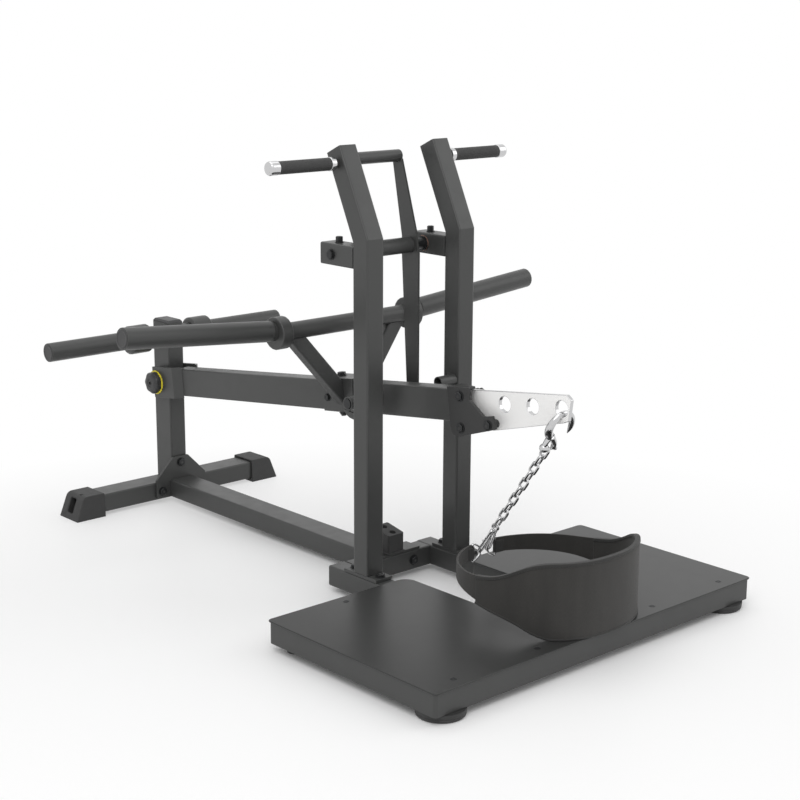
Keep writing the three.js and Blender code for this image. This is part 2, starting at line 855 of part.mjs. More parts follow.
function addGrips(frame) {
  const back = halfTube + gripAlongUpright * Math.sin(uprightLean);
  const height = uprightBendHeight + gripAlongUpright * Math.cos(uprightLean);
  const neck = uprightCentre + halfTube + seatGap;
  const collar = neck + gripNeckLength;
  const grip = collar + gripCollarLength;
  const cap = grip + gripLength;
  const end = cap + gripCapLength;
  const bar = turned([
    [neck, 0],
    [neck, gripNeckRadius],
    [collar, gripNeckRadius],
    [collar, gripCollarRadius],
    [grip, gripCollarRadius],
    [grip, gripCoreRadius],
    [cap, gripCoreRadius],
    [cap, gripCollarRadius],
    [end - gripCapChamfer, gripCollarRadius],
    [end, gripCollarRadius - gripCapChamfer],
    [end, 0],
  ]);
  addPair(frame, 'grip_bar', moved(bar, 0, back, height), chromeFinish);
  const sleeve = pipe(grip + seatGap, cap - seatGap, gripRadius, gripCoreRadius + seatGap);
  addPair(frame, 'grip', moved(sleeve, 0, back, height), rubberFinish);
}

function addLeverCarriers(frame) {
  const front = tubeSize + seatGap;
  const rear = front + carrierLength;
  const tube = boxTube({
    points: [
      [uprightCentre, front, leverPivotHeight],
      [uprightCentre, rear, leverPivotHeight],
    ],
    normal: acrossX,
    width: tubeSize,
    height: tubeSize,
    closedEnd: true,
  });
  const bore = rod(uprightCentre - tubeSize, uprightCentre + tubeSize, shaftRadius + runningGap);
  const head = boltHead(smallBoltRadius, boltHeadHeight);
  const rearHead = boltHead(smallBoltRadius, carrierRearBoltHeight);
  const top = leverPivotHeight + halfTube;
  const firstBolt = front + carrierTopBoltInset;
  const carrier = joined(
    cut(tube, moved(bore, 0, leverPivotBack, leverPivotHeight)),
    moved(head, uprightCentre, firstBolt, top),
    moved(rearHead, uprightCentre, firstBolt + carrierTopBoltSpacing, top),
  );
  addPair(frame, 'lever_carrier', carrier, frameFinish);

  const headStart = uprightCentre + halfTube + seatGap;
  const washerEnd = uprightCentre - halfTube - seatGap;
  const washerStart = washerEnd - shaftWasherThickness;
  const collar = leverPlateOuter + seatGap;
  const half = [
    [0, shaftRadius],
    [collar, shaftRadius],
    [collar, shaftCollarRadius],
    [washerStart, shaftCollarRadius],
    [washerStart, shaftWasherRadius],
    [washerEnd, shaftWasherRadius],
    [washerEnd, shaftRadius],
    [headStart, shaftRadius],
    [headStart, shaftHeadRadius],
    [headStart + shaftHeadThickness, shaftHeadRadius],
    [headStart + shaftHeadThickness, 0],
  ];
  const otherHalf = half.slice(1).reverse().map(([along, radius]) => [-along, radius]);
  const shaft = turned([...otherHalf, ...half.slice(1)]);
  add(frame, 'lever_shaft', moved(shaft, 0, leverPivotBack, leverPivotHeight), boltFinish);
}

function addLeverStop(frame) {
  const end = uprightCentre - halfTube - seatGap;
  const stub = pipe(end - stubLength, end, stubRadius, stubRadius - stubWall);
  add(frame, 'lever_stop', moved(stub, 0, stubBack, stubHeight), frameFinish);
}

// The arm's own axes: Y runs back along the arm, so forward places are negative there.
function addArmTube(arm) {
  const tube = boxTube({
    points: [[0, -armTubeStart, 0], [0, -armTubeEnd, 0]],
    normal: acrossX,
    width: deepTubeSize,
    height: tubeSize,
  });
  const bore = rod(-tubeSize, tubeSize, catchPinRadius + seatGap);
  add(arm, 'arm_tube', cut(tube, moved(bore, 0, -catchAlong, catchRise)), frameFinish);
}

function addYoke(arm) {
  const outer = yokeOuterHalf;
  const inner = yokeOuterHalf - yokeThickness;
  const side = halfTube + seatGap;
  const taper = yokeTaperLength / (outer - side);
  const cheekShape = outline([
    [inner, yokeRearReach],
    [inner, -yokeStraightEnd],
    [side, -yokeStraightEnd - taper * (inner - side)],
    [side, -yokeStraightEnd - yokeTaperLength],
    [outer, -yokeStraightEnd],
    [outer, yokeRearReach],
  ]);
  const bore = rod(0, 2 * yokeOuterHalf, pivotShaftRadius + seatGap);
  const cheek = cut(moved(levelPlate(cheekShape, yokeHeight), 0, 0, -yokeHeight / 2), bore);
  addPair(arm, 'yoke_cheek', cheek, frameFinish);

  const collar = halfTube + seatGap;
  const collarEnd = inner - seatGap;
  const shaftEnd = outer + pivotShaftEndReach;
  const half = [
    [collar, pivotShaftRadius],
    [collar, pivotCollarRadius],
    [collarEnd, pivotCollarRadius],
    [collarEnd, pivotShaftRadius],
    [shaftEnd, pivotShaftRadius],
    [shaftEnd, 0],
  ];
  const otherHalf = [...half].reverse().map(([along, radius]) => [-along, radius]);
  add(arm, 'arm_pivot_shaft', turned([...otherHalf, ...half]), boltFinish);

  const ring = outer + seatGap;
  const knob = ring + pivotRingThickness;
  const end = knob + pivotKnobLength;
  const knobBody = turned([
    [shaftEnd + seatGap, 0],
    [shaftEnd + seatGap, pivotShaftRadius + seatGap],
    [ring, pivotShaftRadius + seatGap],
    [ring, pivotRingRadius],
    [knob, pivotRingRadius],
    [knob, pivotKnobRadius],
    [end - pivotKnobChamfer, pivotKnobRadius],
    [end, pivotKnobRadius - pivotKnobChamfer],
    [end, knobHoleRadius],
    [end - knobHoleDepth, knobHoleRadius],
    [end - knobHoleDepth, 0],
  ]);
  addPair(arm, 'pivot_knob', knobBody, plasticFinish);
}

function addWeightBar(arm) {
  const bar = pipe(-barHalfLength, barHalfLength, barRadius, barRadius - barWall);
  add(arm, 'weight_bar', moved(bar, 0, -barAlong, barRise), frameFinish);

  const hubStart = barHalfLength + seatGap;
  const hub = turned([
    [hubStart, hubBoreRadius],
    [hubStart, hubRadius],
    [hubEnd, hubRadius],
    [hubEnd, hubBoreRadius],
  ]);
  addPair(arm, 'weight_hub', moved(hub, 0, -barAlong, barRise), frameFinish);

  const bore = pegRadius - 2 * pegWall;
  const tube = turned([
    [0, bore],
    [0, pegRadius - pegWall],
    [pegNeckEnd, pegRadius - pegWall],
    [pegNeckEnd + pegWall, pegRadius],
    [pegReach, pegRadius],
    [pegReach, pegRadius * pegRecessShare],
    [pegReach - pegEndThickness, pegRadius * pegRecessShare],
    [pegReach - pegEndThickness, bore],
  ]).rotateY(-pegTilt);
  const behindHub = block(
    0,
    hubEnd + seatGap,
    -barAlong - 2 * pegRadius,
    -barAlong + 2 * pegRadius,
    pegRise - 2 * pegRadius,
    pegRise + 2 * pegRadius,
  );
  addPair(arm, 'weight_peg', cut(moved(tube, pegTiltStart, -barAlong, pegRise), behindHub), frameFinish);
}

function addStruts(arm) {
  const foot = saddleOuter + seatGap;
  const headRise = barRise - (strutWidth / 2) * Math.cos(strutAngle);
  const run = (headRise - strutFootRise) / Math.tan(strutAngle);
  const slopeStep = strutWidth / Math.tan(strutAngle);
  const strut = boxTube({
    points: [
      [foot - strutWidth, -strutAlong, strutFootRise - strutWidth * Math.tan(strutAngle)],
      [foot + run, -strutAlong, headRise],
    ],
    normal: acrossY,
    width: strutWidth,
    height: strutDepth,
    wall: strutWall,
  });
  const low = -2 * deepTubeSize;
  const saddleSpace = block(-foot, foot, -strutAlong - strutDepth, -strutAlong + strutDepth, low, barRise);
  const barSpace = rod(-2 * barHalfLength, 2 * barHalfLength, barRadius + seatGap);
  const hubSpace = rod(barHalfLength, barHalfLength + hubLength + slopeStep, hubRadius + seatGap);
  const fitted = cut(
    strut,
    saddleSpace,
    moved(barSpace, 0, -barAlong, barRise),
    moved(hubSpace, 0, -barAlong, barRise),
  );
  addPair(arm, 'strut', fitted, frameFinish);

  const inner = halfTube + seatGap;
  const top = deepTubeSize / 2 + seatGap;
  const bottom = -deepTubeSize / 2 - saddleSkirt;
  const saddleShape = outline([
    [-saddleOuter, bottom],
    [-inner, bottom],
    [-inner, top],
    [inner, top],
    [inner, bottom],
    [saddleOuter, bottom],
    [saddleOuter, top + saddleThickness],
    [-saddleOuter, top + saddleThickness],
  ]);
  const saddleBody = levelPlate(saddleShape, saddleLength).rotateX(Math.PI / 2);
  const topHead = boltHead(saddleTopBoltRadius, saddleTopBoltHeight);
  const sideHead = boltHead(smallBoltRadius, smallBoltHeight).rotateY(Math.PI / 2);
  const lowHead = boltHead(smallBoltRadius, saddleLowBoltHeight).rotateX(Math.PI);
  const wallMiddle = saddleOuter - saddleThickness / 2;
  const sideBolts = joined(
    moved(sideHead, saddleOuter, -saddleStart - saddleSideBoltInset, saddleSideBoltRise),
    moved(lowHead, wallMiddle, -saddleStart - saddleLowBoltInset, bottom),
  );
  const saddle = joined(
    moved(saddleBody, 0, -saddleStart, 0),
    moved(topHead, 0, -saddleStart - saddleTopBoltInset, top + saddleThickness),
    sideBolts,
    mirrored(sideBolts),
  );
  add(arm, 'strut_saddle', saddle, frameFinish);
}

function addCatch(arm) {
  const pinEnd = catchHalfLength + catchPinReach;
  const pin = rod(-pinEnd, pinEnd, catchPinRadius);
  add(arm, 'catch_pin', moved(pin, 0, -catchAlong, catchRise), boltFinish);
  const bush = pipe(halfTube + seatGap, catchHalfLength, catchBushRadius, catchPinRadius + seatGap);
  addPair(arm, 'catch_bush', moved(bush, 0, -catchAlong, catchRise), frameFinish);
}

// The bracket's outline, as shares of its length and of its half height.
const bracketFrontShares = [
  [0.51, 0.4],
  [0.78, -0.48],
  [0.955, -0.4],
  [1, -1.15],
  [0.52, -1.53],
  [0.24, -1.74],
  [0.15, -1.72],
  [0.09, -1.55],
  [0.07, -1.1],
];
const bracketLeftTopShares = [[0.07, 1], [0.51, 1]];
const bracketRightTopShares = [[0.07, 0.7], [0.51, 0.7]];
const bracketBoltShares = [[0.32, 0.59], [0.295, -1.22], [0.855, -0.94]];

// The cover's outline seen from above, as shares of the cheeks' outer half width and of the
// bracket's length.
const bracketCoverShares = [
  [-1, 0.07],
  [0.45, 0.07],
  [-0.3, 0.51],
  [-1, 0.51],
];

function addFrontBracket(arm) {
  const place = ([along, rise]) => [-bracketStart - along * bracketLength, rise * bracketHalfHeight];
  const inner = halfTube + seatGap;
  const outer = inner + bracketThickness;
  const plateSide = hookPlateThickness / 2 + seatGap;
  const cheekOf = (topShares) => {
    const points = [...topShares, ...bracketFrontShares].map(place);
    return moved(sidePlate(outline(points), bracketThickness), inner, 0, 0);
  };
  const bushes = bracketBoltShares.map((share) => {
    const [back, rise] = place(share);
    const bush = rod(plateSide, inner + weldDepth, bracketBushRadius, 2 * wireSides);
    const head = boltHead(boltHeadRadius, smallBoltHeight).rotateY(Math.PI / 2);
    return [moved(bush, 0, back, rise), moved(head, outer, back, rise)];
  });
  const rightSide = joined(cheekOf(bracketRightTopShares), ...bushes.flat());
  const leftSide = joined(cheekOf(bracketLeftTopShares), ...bushes.flat());
  const coverShape = outline(
    bracketCoverShares.map(([across, along]) => [across * outer, -bracketStart - along * bracketLength]),
  );
  const cover = levelPlate(coverShape, bracketCoverThickness + weldDepth);
  const [strapRear] = place(bracketLeftTopShares[0]);
  const strapTop = -deepTubeSize / 2 - seatGap;
  const strapFront = strapRear - bracketStrapLength;
  const strap = block(-outer, outer, strapFront, strapRear, strapTop - bracketStrapThickness, strapTop);
  const bracket = joined(
    rightSide,
    mirrored(leftSide),
    moved(cover, 0, 0, bracketHalfHeight - weldDepth),
    strap,
  );
  add(arm, 'hook_bracket', bracket, frameFinish);
}

// The hook plate's outline, as shares of its length and of its height, counted from its top.
const hookPlateOutlineShares = [
  [0, 0.03],
  [0.962, 0],
  [1, 0.12],
  [0.962, 0.62],
  [0.924, 0.663],
  [0.25, 1],
  [0, 0.96],
];

function addHookPlate(arm) {
  const place = ([along, drop]) => [
    -hookPlateStart - along * hookPlateLength,
    hookPlateTop - drop * hookPlateHeight,
  ];
  const shape = outline(hookPlateOutlineShares.map(place));
  for (let i = 0; i < hookHoleCount; i += 1) {
    shape.holes.push(roundHole(-hookHoleAlong + i * hookHoleSpacing, hookHoleRise, hookHoleRadius));
  }
  const plate = moved(sidePlate(shape, hookPlateThickness), -hookPlateThickness / 2, 0, 0);
  add(arm, 'hook_plate', plate, chromeFinish);
}

// Points of the lever plate's foot, as shares of the catch's angle and of the foot's depth.
const leverFootShares = [
  [1, 0.75],
  [0.8, 0.95],
  [0.5, 1],
  [0, 1],
];

// Points of the lever plate's toe, as shares of its front reach and of the seat's radius.
const leverToeShares = [
  [-0.6, -1],
  [-1, -0.85],
];

// Points of the lever plate's front shoulder, as shares of its front reach and of the sleeve's
// radius.
const leverFrontShares = [
  [-1, -1],
  [-0.7, 1.6],
];

// Points of the lever plate's top, as shares of the handle's radius, counted from its middle.
const leverTopShares = [
  [-1.1, -0.4],
  [1.1, -0.4],
];

// Points of the lever plate's rear shoulder, as shares of the sleeve's radius.
const leverRearShares = [
  [1.45, 1],
  [1.45, -1],
];

// Height at which the lever plate's rear edge becomes straight, as a share of the seat's radius.
const leverCalfShare = 0.9;

// Side plate of the release lever, seen from the right. Its pivot is the origin, and the seat
// under the catch pin is an arc about that pivot.
function leverPlateShape() {
  const tipAngle = catchAngle + leverTipReach / leverSeatRadius;
  const shank = leverWidth - leverFrontReach + seatGap;
  const onSeat = (angle, depth) => [
    (leverSeatRadius + depth) * Math.sin(angle),
    -(leverSeatRadius + depth) * Math.cos(angle),
  ];
  const scaled = (shares, wide, high) => shares.map(([across, up]) => [across * wide, up * high]);
  const top = scaled(leverTopShares, leverHandleRadius, leverHandleRadius);
  const points = [
    onSeat(tipAngle, 0),
    onSeat(tipAngle, leverTipThickness),
    ...leverFootShares.map(([turn, depth]) => onSeat(turn * catchAngle, depth * leverFootDepth)),
    ...scaled(leverToeShares, leverFrontReach, leverSeatRadius),
    ...scaled(leverFrontShares, leverFrontReach, leverSleeveRadius),
    ...top.map(([x, z]) => [leverHandleBack + x, leverHandleRise + z]),
    ...scaled(leverRearShares, leverSleeveRadius, leverSleeveRadius),
    [shank, -leverCalfShare * leverSeatRadius],
  ];
  const heel = Math.asin(shank / leverSeatRadius);
  for (let step = 0; step < linkArcSteps; step += 1) {
    points.push(onSeat(heel + ((tipAngle - heel) * step) / linkArcSteps, 0));
  }
  return outline(points);
}

function addLever(lever) {
  const plate = moved(sidePlate(leverPlateShape(), leverPlateThickness), leverPlateInner, 0, 0);
  const bore = rod(0, 2 * leverPlateOuter, shaftRadius + runningGap);
  const handleSpace = rod(0, 2 * leverPlateOuter, leverHandleRadius + seatGap);
  const fitted = cut(plate, bore, moved(handleSpace, 0, leverHandleBack, leverHandleRise));
  addPair(lever, 'lever_plate', fitted, frameFinish);

  const sleeveEnd = leverPlateInner - seatGap;
  const sleeve = pipe(-sleeveEnd, sleeveEnd, leverSleeveRadius, shaftRadius + runningGap);
  add(lever, 'lever_sleeve', sleeve, frameFinish);

  const handleBore = leverHandleRadius - leverHandleWall;
  const handle = pipe(-leverHandleHalfLength, leverHandleHalfLength, leverHandleRadius, handleBore);
  add(lever, 'lever_handle', moved(handle, 0, leverHandleBack, leverHandleRise), frameFinish);
}

// Points of the hook's tip, as shares of its bowl's radius.
const hookTipShares = [
  [0.55, -1.7],
  [0.9, -1.45],
];

// Points of the hook's shank, as shares of its bowl's radius and of the way down to its eye.
const hookShankShares = [
  [-0.93, 0.6],
  [-0.45, 0.86],
];

// The hook's own axes: its origin is where the bowl rests on the rim, and the eye hangs below.
function addHook(hook) {
  const bowl = [];
  const steps = 3 * linkArcSteps;
  for (let step = 0; step <= steps; step += 1) {
    const angle = (step * Math.PI) / steps;
    bowl.push([hookBowlRadius * Math.cos(angle), 0, hookBowlRadius * (Math.sin(angle) - 1)]);
  }
  const eyeMiddle = hookEyeRadius - hookLength;
  const shankEnd = eyeMiddle + hookEyeRadius;
  const points = [
    ...hookTipShares.map(([x, z]) => [x * hookBowlRadius, 0, z * hookBowlRadius]),
    ...bowl,
    ...hookShankShares.map(([x, z]) => [x * hookBowlRadius, 0, z * shankEnd]),
    [0, 0, shankEnd - weldDepth],
  ];
  const body = swept(pathOf(points), acrossY.clone(), roundSection(hookWire, wireSides));
  const eye = swept(
    ovalPath(0, hookEyeRadius, 2 * linkArcSteps),
    acrossY,
    roundSection(hookEyeWire, wireSides),
    true,
  );
  add(hook, 'open_hook', joined(body, moved(eye, 0, 0, eyeMiddle)), chromeFinish);
}

// The chain's own axes: its origin is the bottom of the hook's eye, and it runs straight down.
function addChain(chain) {
  const link = swept(
    ovalPath(linkStraight, linkArcRadius, linkArcSteps),
    acrossY,
    roundSection(linkWire, chainSides),
    true,
  );
  const firstMiddle = firstLinkDrop + linkStraight / 2;
  const links = Array.from({ length: linkCount }, (_, i) => {
    const facing = link.clone().rotateZ(i % 2 === 0 ? Math.PI / 2 : 0);
    return moved(facing, 0, 0, -firstMiddle - i * linkPitch);
  });
  add(chain, 'chain', joined(...links), chromeFinish);
}

// Height of the belt's lower and upper edge, as shares of its front height, against the share of
// the way from its rear opening to its front.
const beltEdgeShares = [
  [0, 0.375, 0.622],
  [0.25, 0.346, 0.64],
  [0.38, 0.316, 0.646],
  [0.54, 0.257, 0.7],
  [0.63, 0.227, 0.758],
  [0.7, 0.19, 0.85],
  [0.78, 0.11, 0.95],
  [0.83, 0, 1],
  [1, 0, 1],
];

function beltEdge(way, column) {
  const next = beltEdgeShares.findIndex(([share]) => share >= way);
  const high = beltEdgeShares[Math.max(next, 1)];
  const low = beltEdgeShares[Math.max(next, 1) - 1];
  const part = (way - low[0]) / (high[0] - low[0]);
  return low[column] + part * (high[column] - low[column]);
}

// A point of the belt's middle line, seen from above, with the direction square to it.
function beltPoint(angle) {
  const sine = Math.sin(angle);
  const cosine = Math.cos(angle);
  const power = 2 / (cosine > 0 ? beltRearRoundness : beltFrontRoundness);
  const x = (beltHalfWidth - beltThickness / 2) * Math.sign(sine) * Math.abs(sine) ** power;
  const y = (beltHalfDepth - beltThickness / 2) * Math.sign(cosine) * Math.abs(cosine) ** power;
  return new THREE.Vector2(x, y);
}

function addBelt(belt) {
  const openingShare = beltOpening / 2 / (beltHalfWidth - beltThickness / 2);
  const firstAngle = Math.asin(openingShare ** (beltRearRoundness / 2));
  const bottom = platformTop + beltRaise - chainEnd.height;
  const positions = [];
  const faces = [];
  const rearmost = beltPoint(firstAngle).y;
  const depth = rearmost + beltHalfDepth - beltThickness / 2;
  const half = beltThickness / 2;
  for (let station = 0; station <= beltStations; station += 1) {
    const angle = firstAngle + (station / beltStations) * (2 * Math.PI - 2 * firstAngle);
    const nudge = (beltTangentShare * Math.PI) / beltStations;
    const here = beltPoint(angle);
    const tangent = beltPoint(angle + nudge).sub(beltPoint(angle - nudge)).normalize();
    const outward = new THREE.Vector2(-tangent.y, tangent.x);
    const way = Math.min(1, Math.max(0, (rearmost - here.y) / depth));
    const low = bottom + beltFrontHeight * beltEdge(way, 1);
    const high = bottom + beltFrontHeight * beltEdge(way, 2);
    const section = [
      [-half, low + beltEdgeRound],
      [-half / 2, low],
      [half / 2, low],
      [half, low + beltEdgeRound],
      [half, high - beltEdgeRound],
      [half / 2, high],
      [-half / 2, high],
      [-half, high - beltEdgeRound],
    ];
    for (const [out, z] of section) {
      positions.push(here.x + out * outward.x, here.y + out * outward.y, z);
    }
  }
  for (let station = 0; station < beltStations; station += 1) {
    for (let k = 0; k < beltSectionSize; k += 1) {
      const a = station * beltSectionSize + k;
      const b = station * beltSectionSize + ((k + 1) % beltSectionSize);
      const c = b + beltSectionSize;
      faces.push(a, b, c, a, c, a + beltSectionSize);
    }
  }
  const last = beltStations * beltSectionSize;
  for (let k = 1; k < beltSectionSize - 1; k += 1) {
    faces.push(0, k + 1, k);
    faces.push(last, last + k, last + k + 1);
  }
  const geometry = new THREE.BufferGeometry();
  geometry.setAttribute('position', new THREE.Float32BufferAttribute(positions, 3));
  geometry.setIndex(faces);
  add(belt, 'belt', moved(geometry, 0, -beltCentreForward - chainEnd.back, 0), beltFinish);
}

// One snap hook with the D-ring that it holds. The belt's own origin is the chain's last bar.
function addSnapHooks(belt) {
  const eye = swept(
    ovalPath(0, snapEyeRadius, 2 * linkArcSteps),
    acrossY,
    roundSection(snapEyeWire, chainSides),
    true,
  ).rotateZ(Math.PI / 2);
  const barCurve = linkArcRadius - Math.sqrt(linkArcRadius ** 2 - (snapSide + snapEyeWire) ** 2);
  const eyeDrop = snapEyeRadius - snapEyeWire - linkWire - barCurve - linkPlay;
  const tab = beltPoint(Math.asin((beltOpening / beltHalfWidth / 2) ** (beltRearRoundness / 2)));
  const ringBack = tab.y - beltCentreForward - chainEnd.back;
  const tabShares = (beltEdgeShares[0][1] + beltEdgeShares[0][2]) / 2;
  const ringHeight = platformTop + beltRaise + beltFrontHeight * tabShares - chainEnd.height;
  const snapLean = Math.atan2(ringBack, -ringHeight);
  const snapLength = Math.hypot(ringBack, ringHeight) + snapWire - eyeDrop - snapEyeRadius;
  const bodyRadius = snapWidth / 2;
  const bodyMiddle = eyeDrop + snapEyeRadius + snapLength / 2;
  const body = swept(
    ovalPath(snapLength - snapWidth, bodyRadius, linkArcSteps),
    acrossY,
    roundSection(snapWire, chainSides),
    true,
  );
  const bodySide = bodyRadius + snapWire + seatGap;
  const hanging = joined(
    moved(eye, snapSide, 0, -eyeDrop),
    moved(body, bodySide, 0, -bodyMiddle),
    swept(
      pathOf([[snapSide, 0, -eyeDrop - snapEyeRadius], [bodySide, 0, -eyeDrop - snapEyeRadius - snapWidth / 2]]),
      acrossY,
      roundSection(snapWire, chainSides),
    ),
  ).rotateX(snapLean);

  const straight = beltOpening / 2 - 2 * seatGap - dRingWire;
  const ringPoints = [[straight, 0, -dRingHeight / 2], [straight, 0, dRingHeight / 2]];
  for (let step = 1; step < 2 * linkArcSteps; step += 1) {
    const angle = Math.PI / 2 + (step * Math.PI) / (2 * linkArcSteps);
    ringPoints.push([
      straight + dRingReach * Math.cos(angle),
      0,
      (dRingHeight / 2) * Math.sin(angle),
    ]);
  }
  const ring = swept(pathOf(ringPoints), acrossY, roundSection(dRingWire, chainSides), true);
  addPair(belt, 'snap_hook', joined(hanging, moved(ring, 0, ringBack, ringHeight)), chromeFinish);
}

// The machine, from its groups
function group(parent, back, height, lean) {
  const made = new THREE.Group();
  made.position.set(0, back, height);
  made.rotation.x = lean;
  parent.add(made);
  return made;
}

const machine = new THREE.Group();
const frame = group(machine, -machineCentre, 0, 0);
addPlatform(frame);
addBase(frame);
addArmStop(frame);
addRearBase(frame);
addRearPost(frame);
addUprights(frame);
addGrips(frame);
addLeverCarriers(frame);
addLeverStop(frame);

const arm = group(machine, postCentre - machineCentre, armPivotHeight, -armSlope);
addArmTube(arm);
addYoke(arm);
addWeightBar(arm);
addStruts(arm);
addCatch(arm);
addFrontBracket(arm);
addHookPlate(arm);

const lever = group(machine, leverPivotBack - machineCentre, leverPivotHeight, 0);
addLever(lever);

const hook = group(machine, hookPlace.back - machineCentre, hookPlace.height, hookLean);
addHook(hook);

const chain = group(machine, eyePlace.back - machineCentre, eyePlace.height, chainLean);
addChain(chain);

const belt = group(machine, chainEnd.back - machineCentre, chainEnd.height, 0);
addBelt(belt);
addSnapHooks(belt);

export default machine;
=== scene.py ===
"""Looks of a plate-loaded belt squat machine, built round its packed solids. Sizes are in metres."""

import json
import math

import bmesh
import bpy
from bpy.props import FloatProperty, FloatVectorProperty, IntProperty, PointerProperty
from mathutils import Matrix, Vector


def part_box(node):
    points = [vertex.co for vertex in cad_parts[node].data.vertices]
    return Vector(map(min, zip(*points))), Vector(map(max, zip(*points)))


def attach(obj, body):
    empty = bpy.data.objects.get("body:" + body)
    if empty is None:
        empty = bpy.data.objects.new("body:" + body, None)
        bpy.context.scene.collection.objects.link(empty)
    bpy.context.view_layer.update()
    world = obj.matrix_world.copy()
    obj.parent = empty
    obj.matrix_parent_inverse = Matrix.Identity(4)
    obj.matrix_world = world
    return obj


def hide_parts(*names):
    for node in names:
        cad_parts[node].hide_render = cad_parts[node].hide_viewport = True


bl_info = {
    "name": "Belt Squat Machine",
    "version": (1, 0, 0),
    "blender": (4, 5, 0),
    "location": "View3D > Sidebar > Machine",
    "description": "Finishes the tubes, chrome, rubber and belt of a belt squat machine",
    "category": "Object",
}

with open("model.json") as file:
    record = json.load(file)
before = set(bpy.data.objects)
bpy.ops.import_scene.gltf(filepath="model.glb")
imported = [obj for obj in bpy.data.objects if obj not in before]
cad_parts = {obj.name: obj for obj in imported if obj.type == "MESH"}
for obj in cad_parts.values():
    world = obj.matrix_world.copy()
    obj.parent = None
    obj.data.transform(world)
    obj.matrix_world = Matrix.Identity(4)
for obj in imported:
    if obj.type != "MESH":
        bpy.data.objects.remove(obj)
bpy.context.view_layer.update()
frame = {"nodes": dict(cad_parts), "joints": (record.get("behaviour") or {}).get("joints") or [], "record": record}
NODES = frame["nodes"]
RECORD = frame["record"]
BODY_OF = {node: body for body, nodes in RECORD["behaviour"]["bodies"].items() for node in nodes}
SLOT_OF = {part["node"]: part["material_slot"] for part in RECORD["subparts"]}
JOINT_PLACE = {joint["name"]: Vector(joint["pos_m"]) for joint in frame["joints"]}
SIDES = (("right", 1), ("left", -1))
PEG_RADIUS = 0.025
RING_WIRE = 0.0026
HALF_TURN = math.pi


def colour_property(name, description, default):
    return FloatVectorProperty(
        name=name, description=description, subtype="COLOR", size=3, min=0, max=1, default=default
    )


def length_property(name, description, default):
    return FloatProperty(name=name, description=description, unit="LENGTH", min=0, default=default)


def angle_property(name, description, default):
    return FloatProperty(name=name, description=description, subtype="ANGLE", default=math.radians(default))


def number_property(name, description, default):
    return FloatProperty(name=name, description=description, default=default)


def count_property(name, description, default):
    return IntProperty(name=name, description=description, default=default)


class MachineFinish(bpy.types.PropertyGroup):
    """Colours and surface values of the machine's finishes."""

    paint: colour_property("Paint", "Anthracite powder coat of the tubes and plates", (0.05, 0.051, 0.05))
    # Painted highlight: the rounded edges get a paint a little lighter than the flat faces.
    edge_highlight_paint: colour_property("Rubbed paint", "Powder coat on rounded edges", (0.053, 0.054, 0.053))
    deck: colour_property("Deck", "Powder coat of the platform's top", (0.038, 0.03876, 0.038))
    black_paint: colour_property("Black paint", "Powder coat of the front bracket", (0.027, 0.027, 0.027))
    chrome: colour_property("Chrome", "Polished hooks, chain and grip ends", (0.58, 0.58, 0.585))
    plating: colour_property("Plating", "Satin plating of the hook plate", (0.985, 0.98, 0.97))
    rubber: colour_property("Rubber", "Feet, end caps, stop and grips", (0.03, 0.03, 0.03))
    plastic: colour_property("Plastic", "Knobs, plugs and the post's cap", (0.032, 0.032, 0.033))
    bolt: colour_property("Bolts", "Blackened bolts, pins and shafts", (0.03, 0.031, 0.032))
    copper: colour_property("Copper", "Washers on the lever's shaft", (0.95, 0.55, 0.42))
    yellow: colour_property("Yellow", "Washers under the knobs", (0.95, 0.8, 0.05))
    cloth: colour_property("Belt cloth", "Woven face of the belt", (0.029, 0.0275, 0.0253))
    binding: colour_property("Binding", "Tape round the belt's edge", (0.024, 0.0235, 0.0225))
    paint_roughness: number_property("Paint roughness", "Satin paint", 0.38)
    chrome_roughness: number_property("Chrome roughness", "Polished plating", 0.13)
    plating_roughness: number_property("Plating roughness", "Satin plating", 0.5)


class MachineDetail(bpy.types.PropertyGroup):
    """Sizes of the small pieces that finish the machine."""

    edge: length_property("Edge", "Rounding of cut and folded edges", 0.0012)
    fine_edge: length_property("Fine edge", "Rounding of thin plates and pins", 0.0008)
    soft_edge: length_property("Soft edge", "Rounding of rubber and turned pieces", 0.003)
    bolt_radius: length_property("Bolt", "Half the width of a large bolt head across its corners", 0.0106)
    bolt_height: length_property("Bolt height", "Height of a large bolt head", 0.0076)
    small_bolt_radius: length_property("Small bolt", "The same on a small bolt head", 0.0084)
    small_bolt_height: length_property("Small bolt height", "Height of a small bolt head", 0.0056)
    screw_radius: length_property("Deck screw", "Radius of a screw in the platform", 0.0075)
    knob_radius: length_property("Knob", "Radius of a knob", 0.031)
    knob_lobes: count_property("Knob lobes", "Finger hollows round a knob", 7)
    knob_hollow: length_property("Knob hollow", "Depth of a finger hollow", 0.0022)


class MachineBelt(bpy.types.PropertyGroup):
    """Sizes of the belt."""

    half_width: length_property("Half width", "Half the loop's width", 0.195)
    half_depth: length_property("Half depth", "Half the loop's depth", 0.198)
    thickness: length_property("Thickness", "Thickness of the padded band", 0.0094)
    bound_thickness: length_property("Bound thickness", "Thickness over the bound edge", 0.0122)
    binding: length_property("Binding", "Width of the tape on the edge", 0.0078)
    opening: length_property("Opening", "Gap between the two ends", 0.08)
    front_height: length_property("Front height", "Height of the belt's front", 0.1695)
    strap_inset: length_property("Strap inset", "How far the end straps are narrower than the body", 0.007)
    strap_thickness: length_property("Strap thickness", "Thickness of the end straps", 0.0048)
    tab_height: length_property("Tab height", "Height of the webbing round a D-ring", 0.029)
    stations: count_property("Stations", "Steps along the band", 176)
    body_start: count_property("Body start", "Steps from an end to the padded body", 37)
    rows: count_property("Rows", "Steps up the band", 16)
    stitch: length_property("Stitch", "Length of one stitch", 0.0042)
    stitch_gap: length_property("Stitch gap", "Gap between stitches", 0.002)


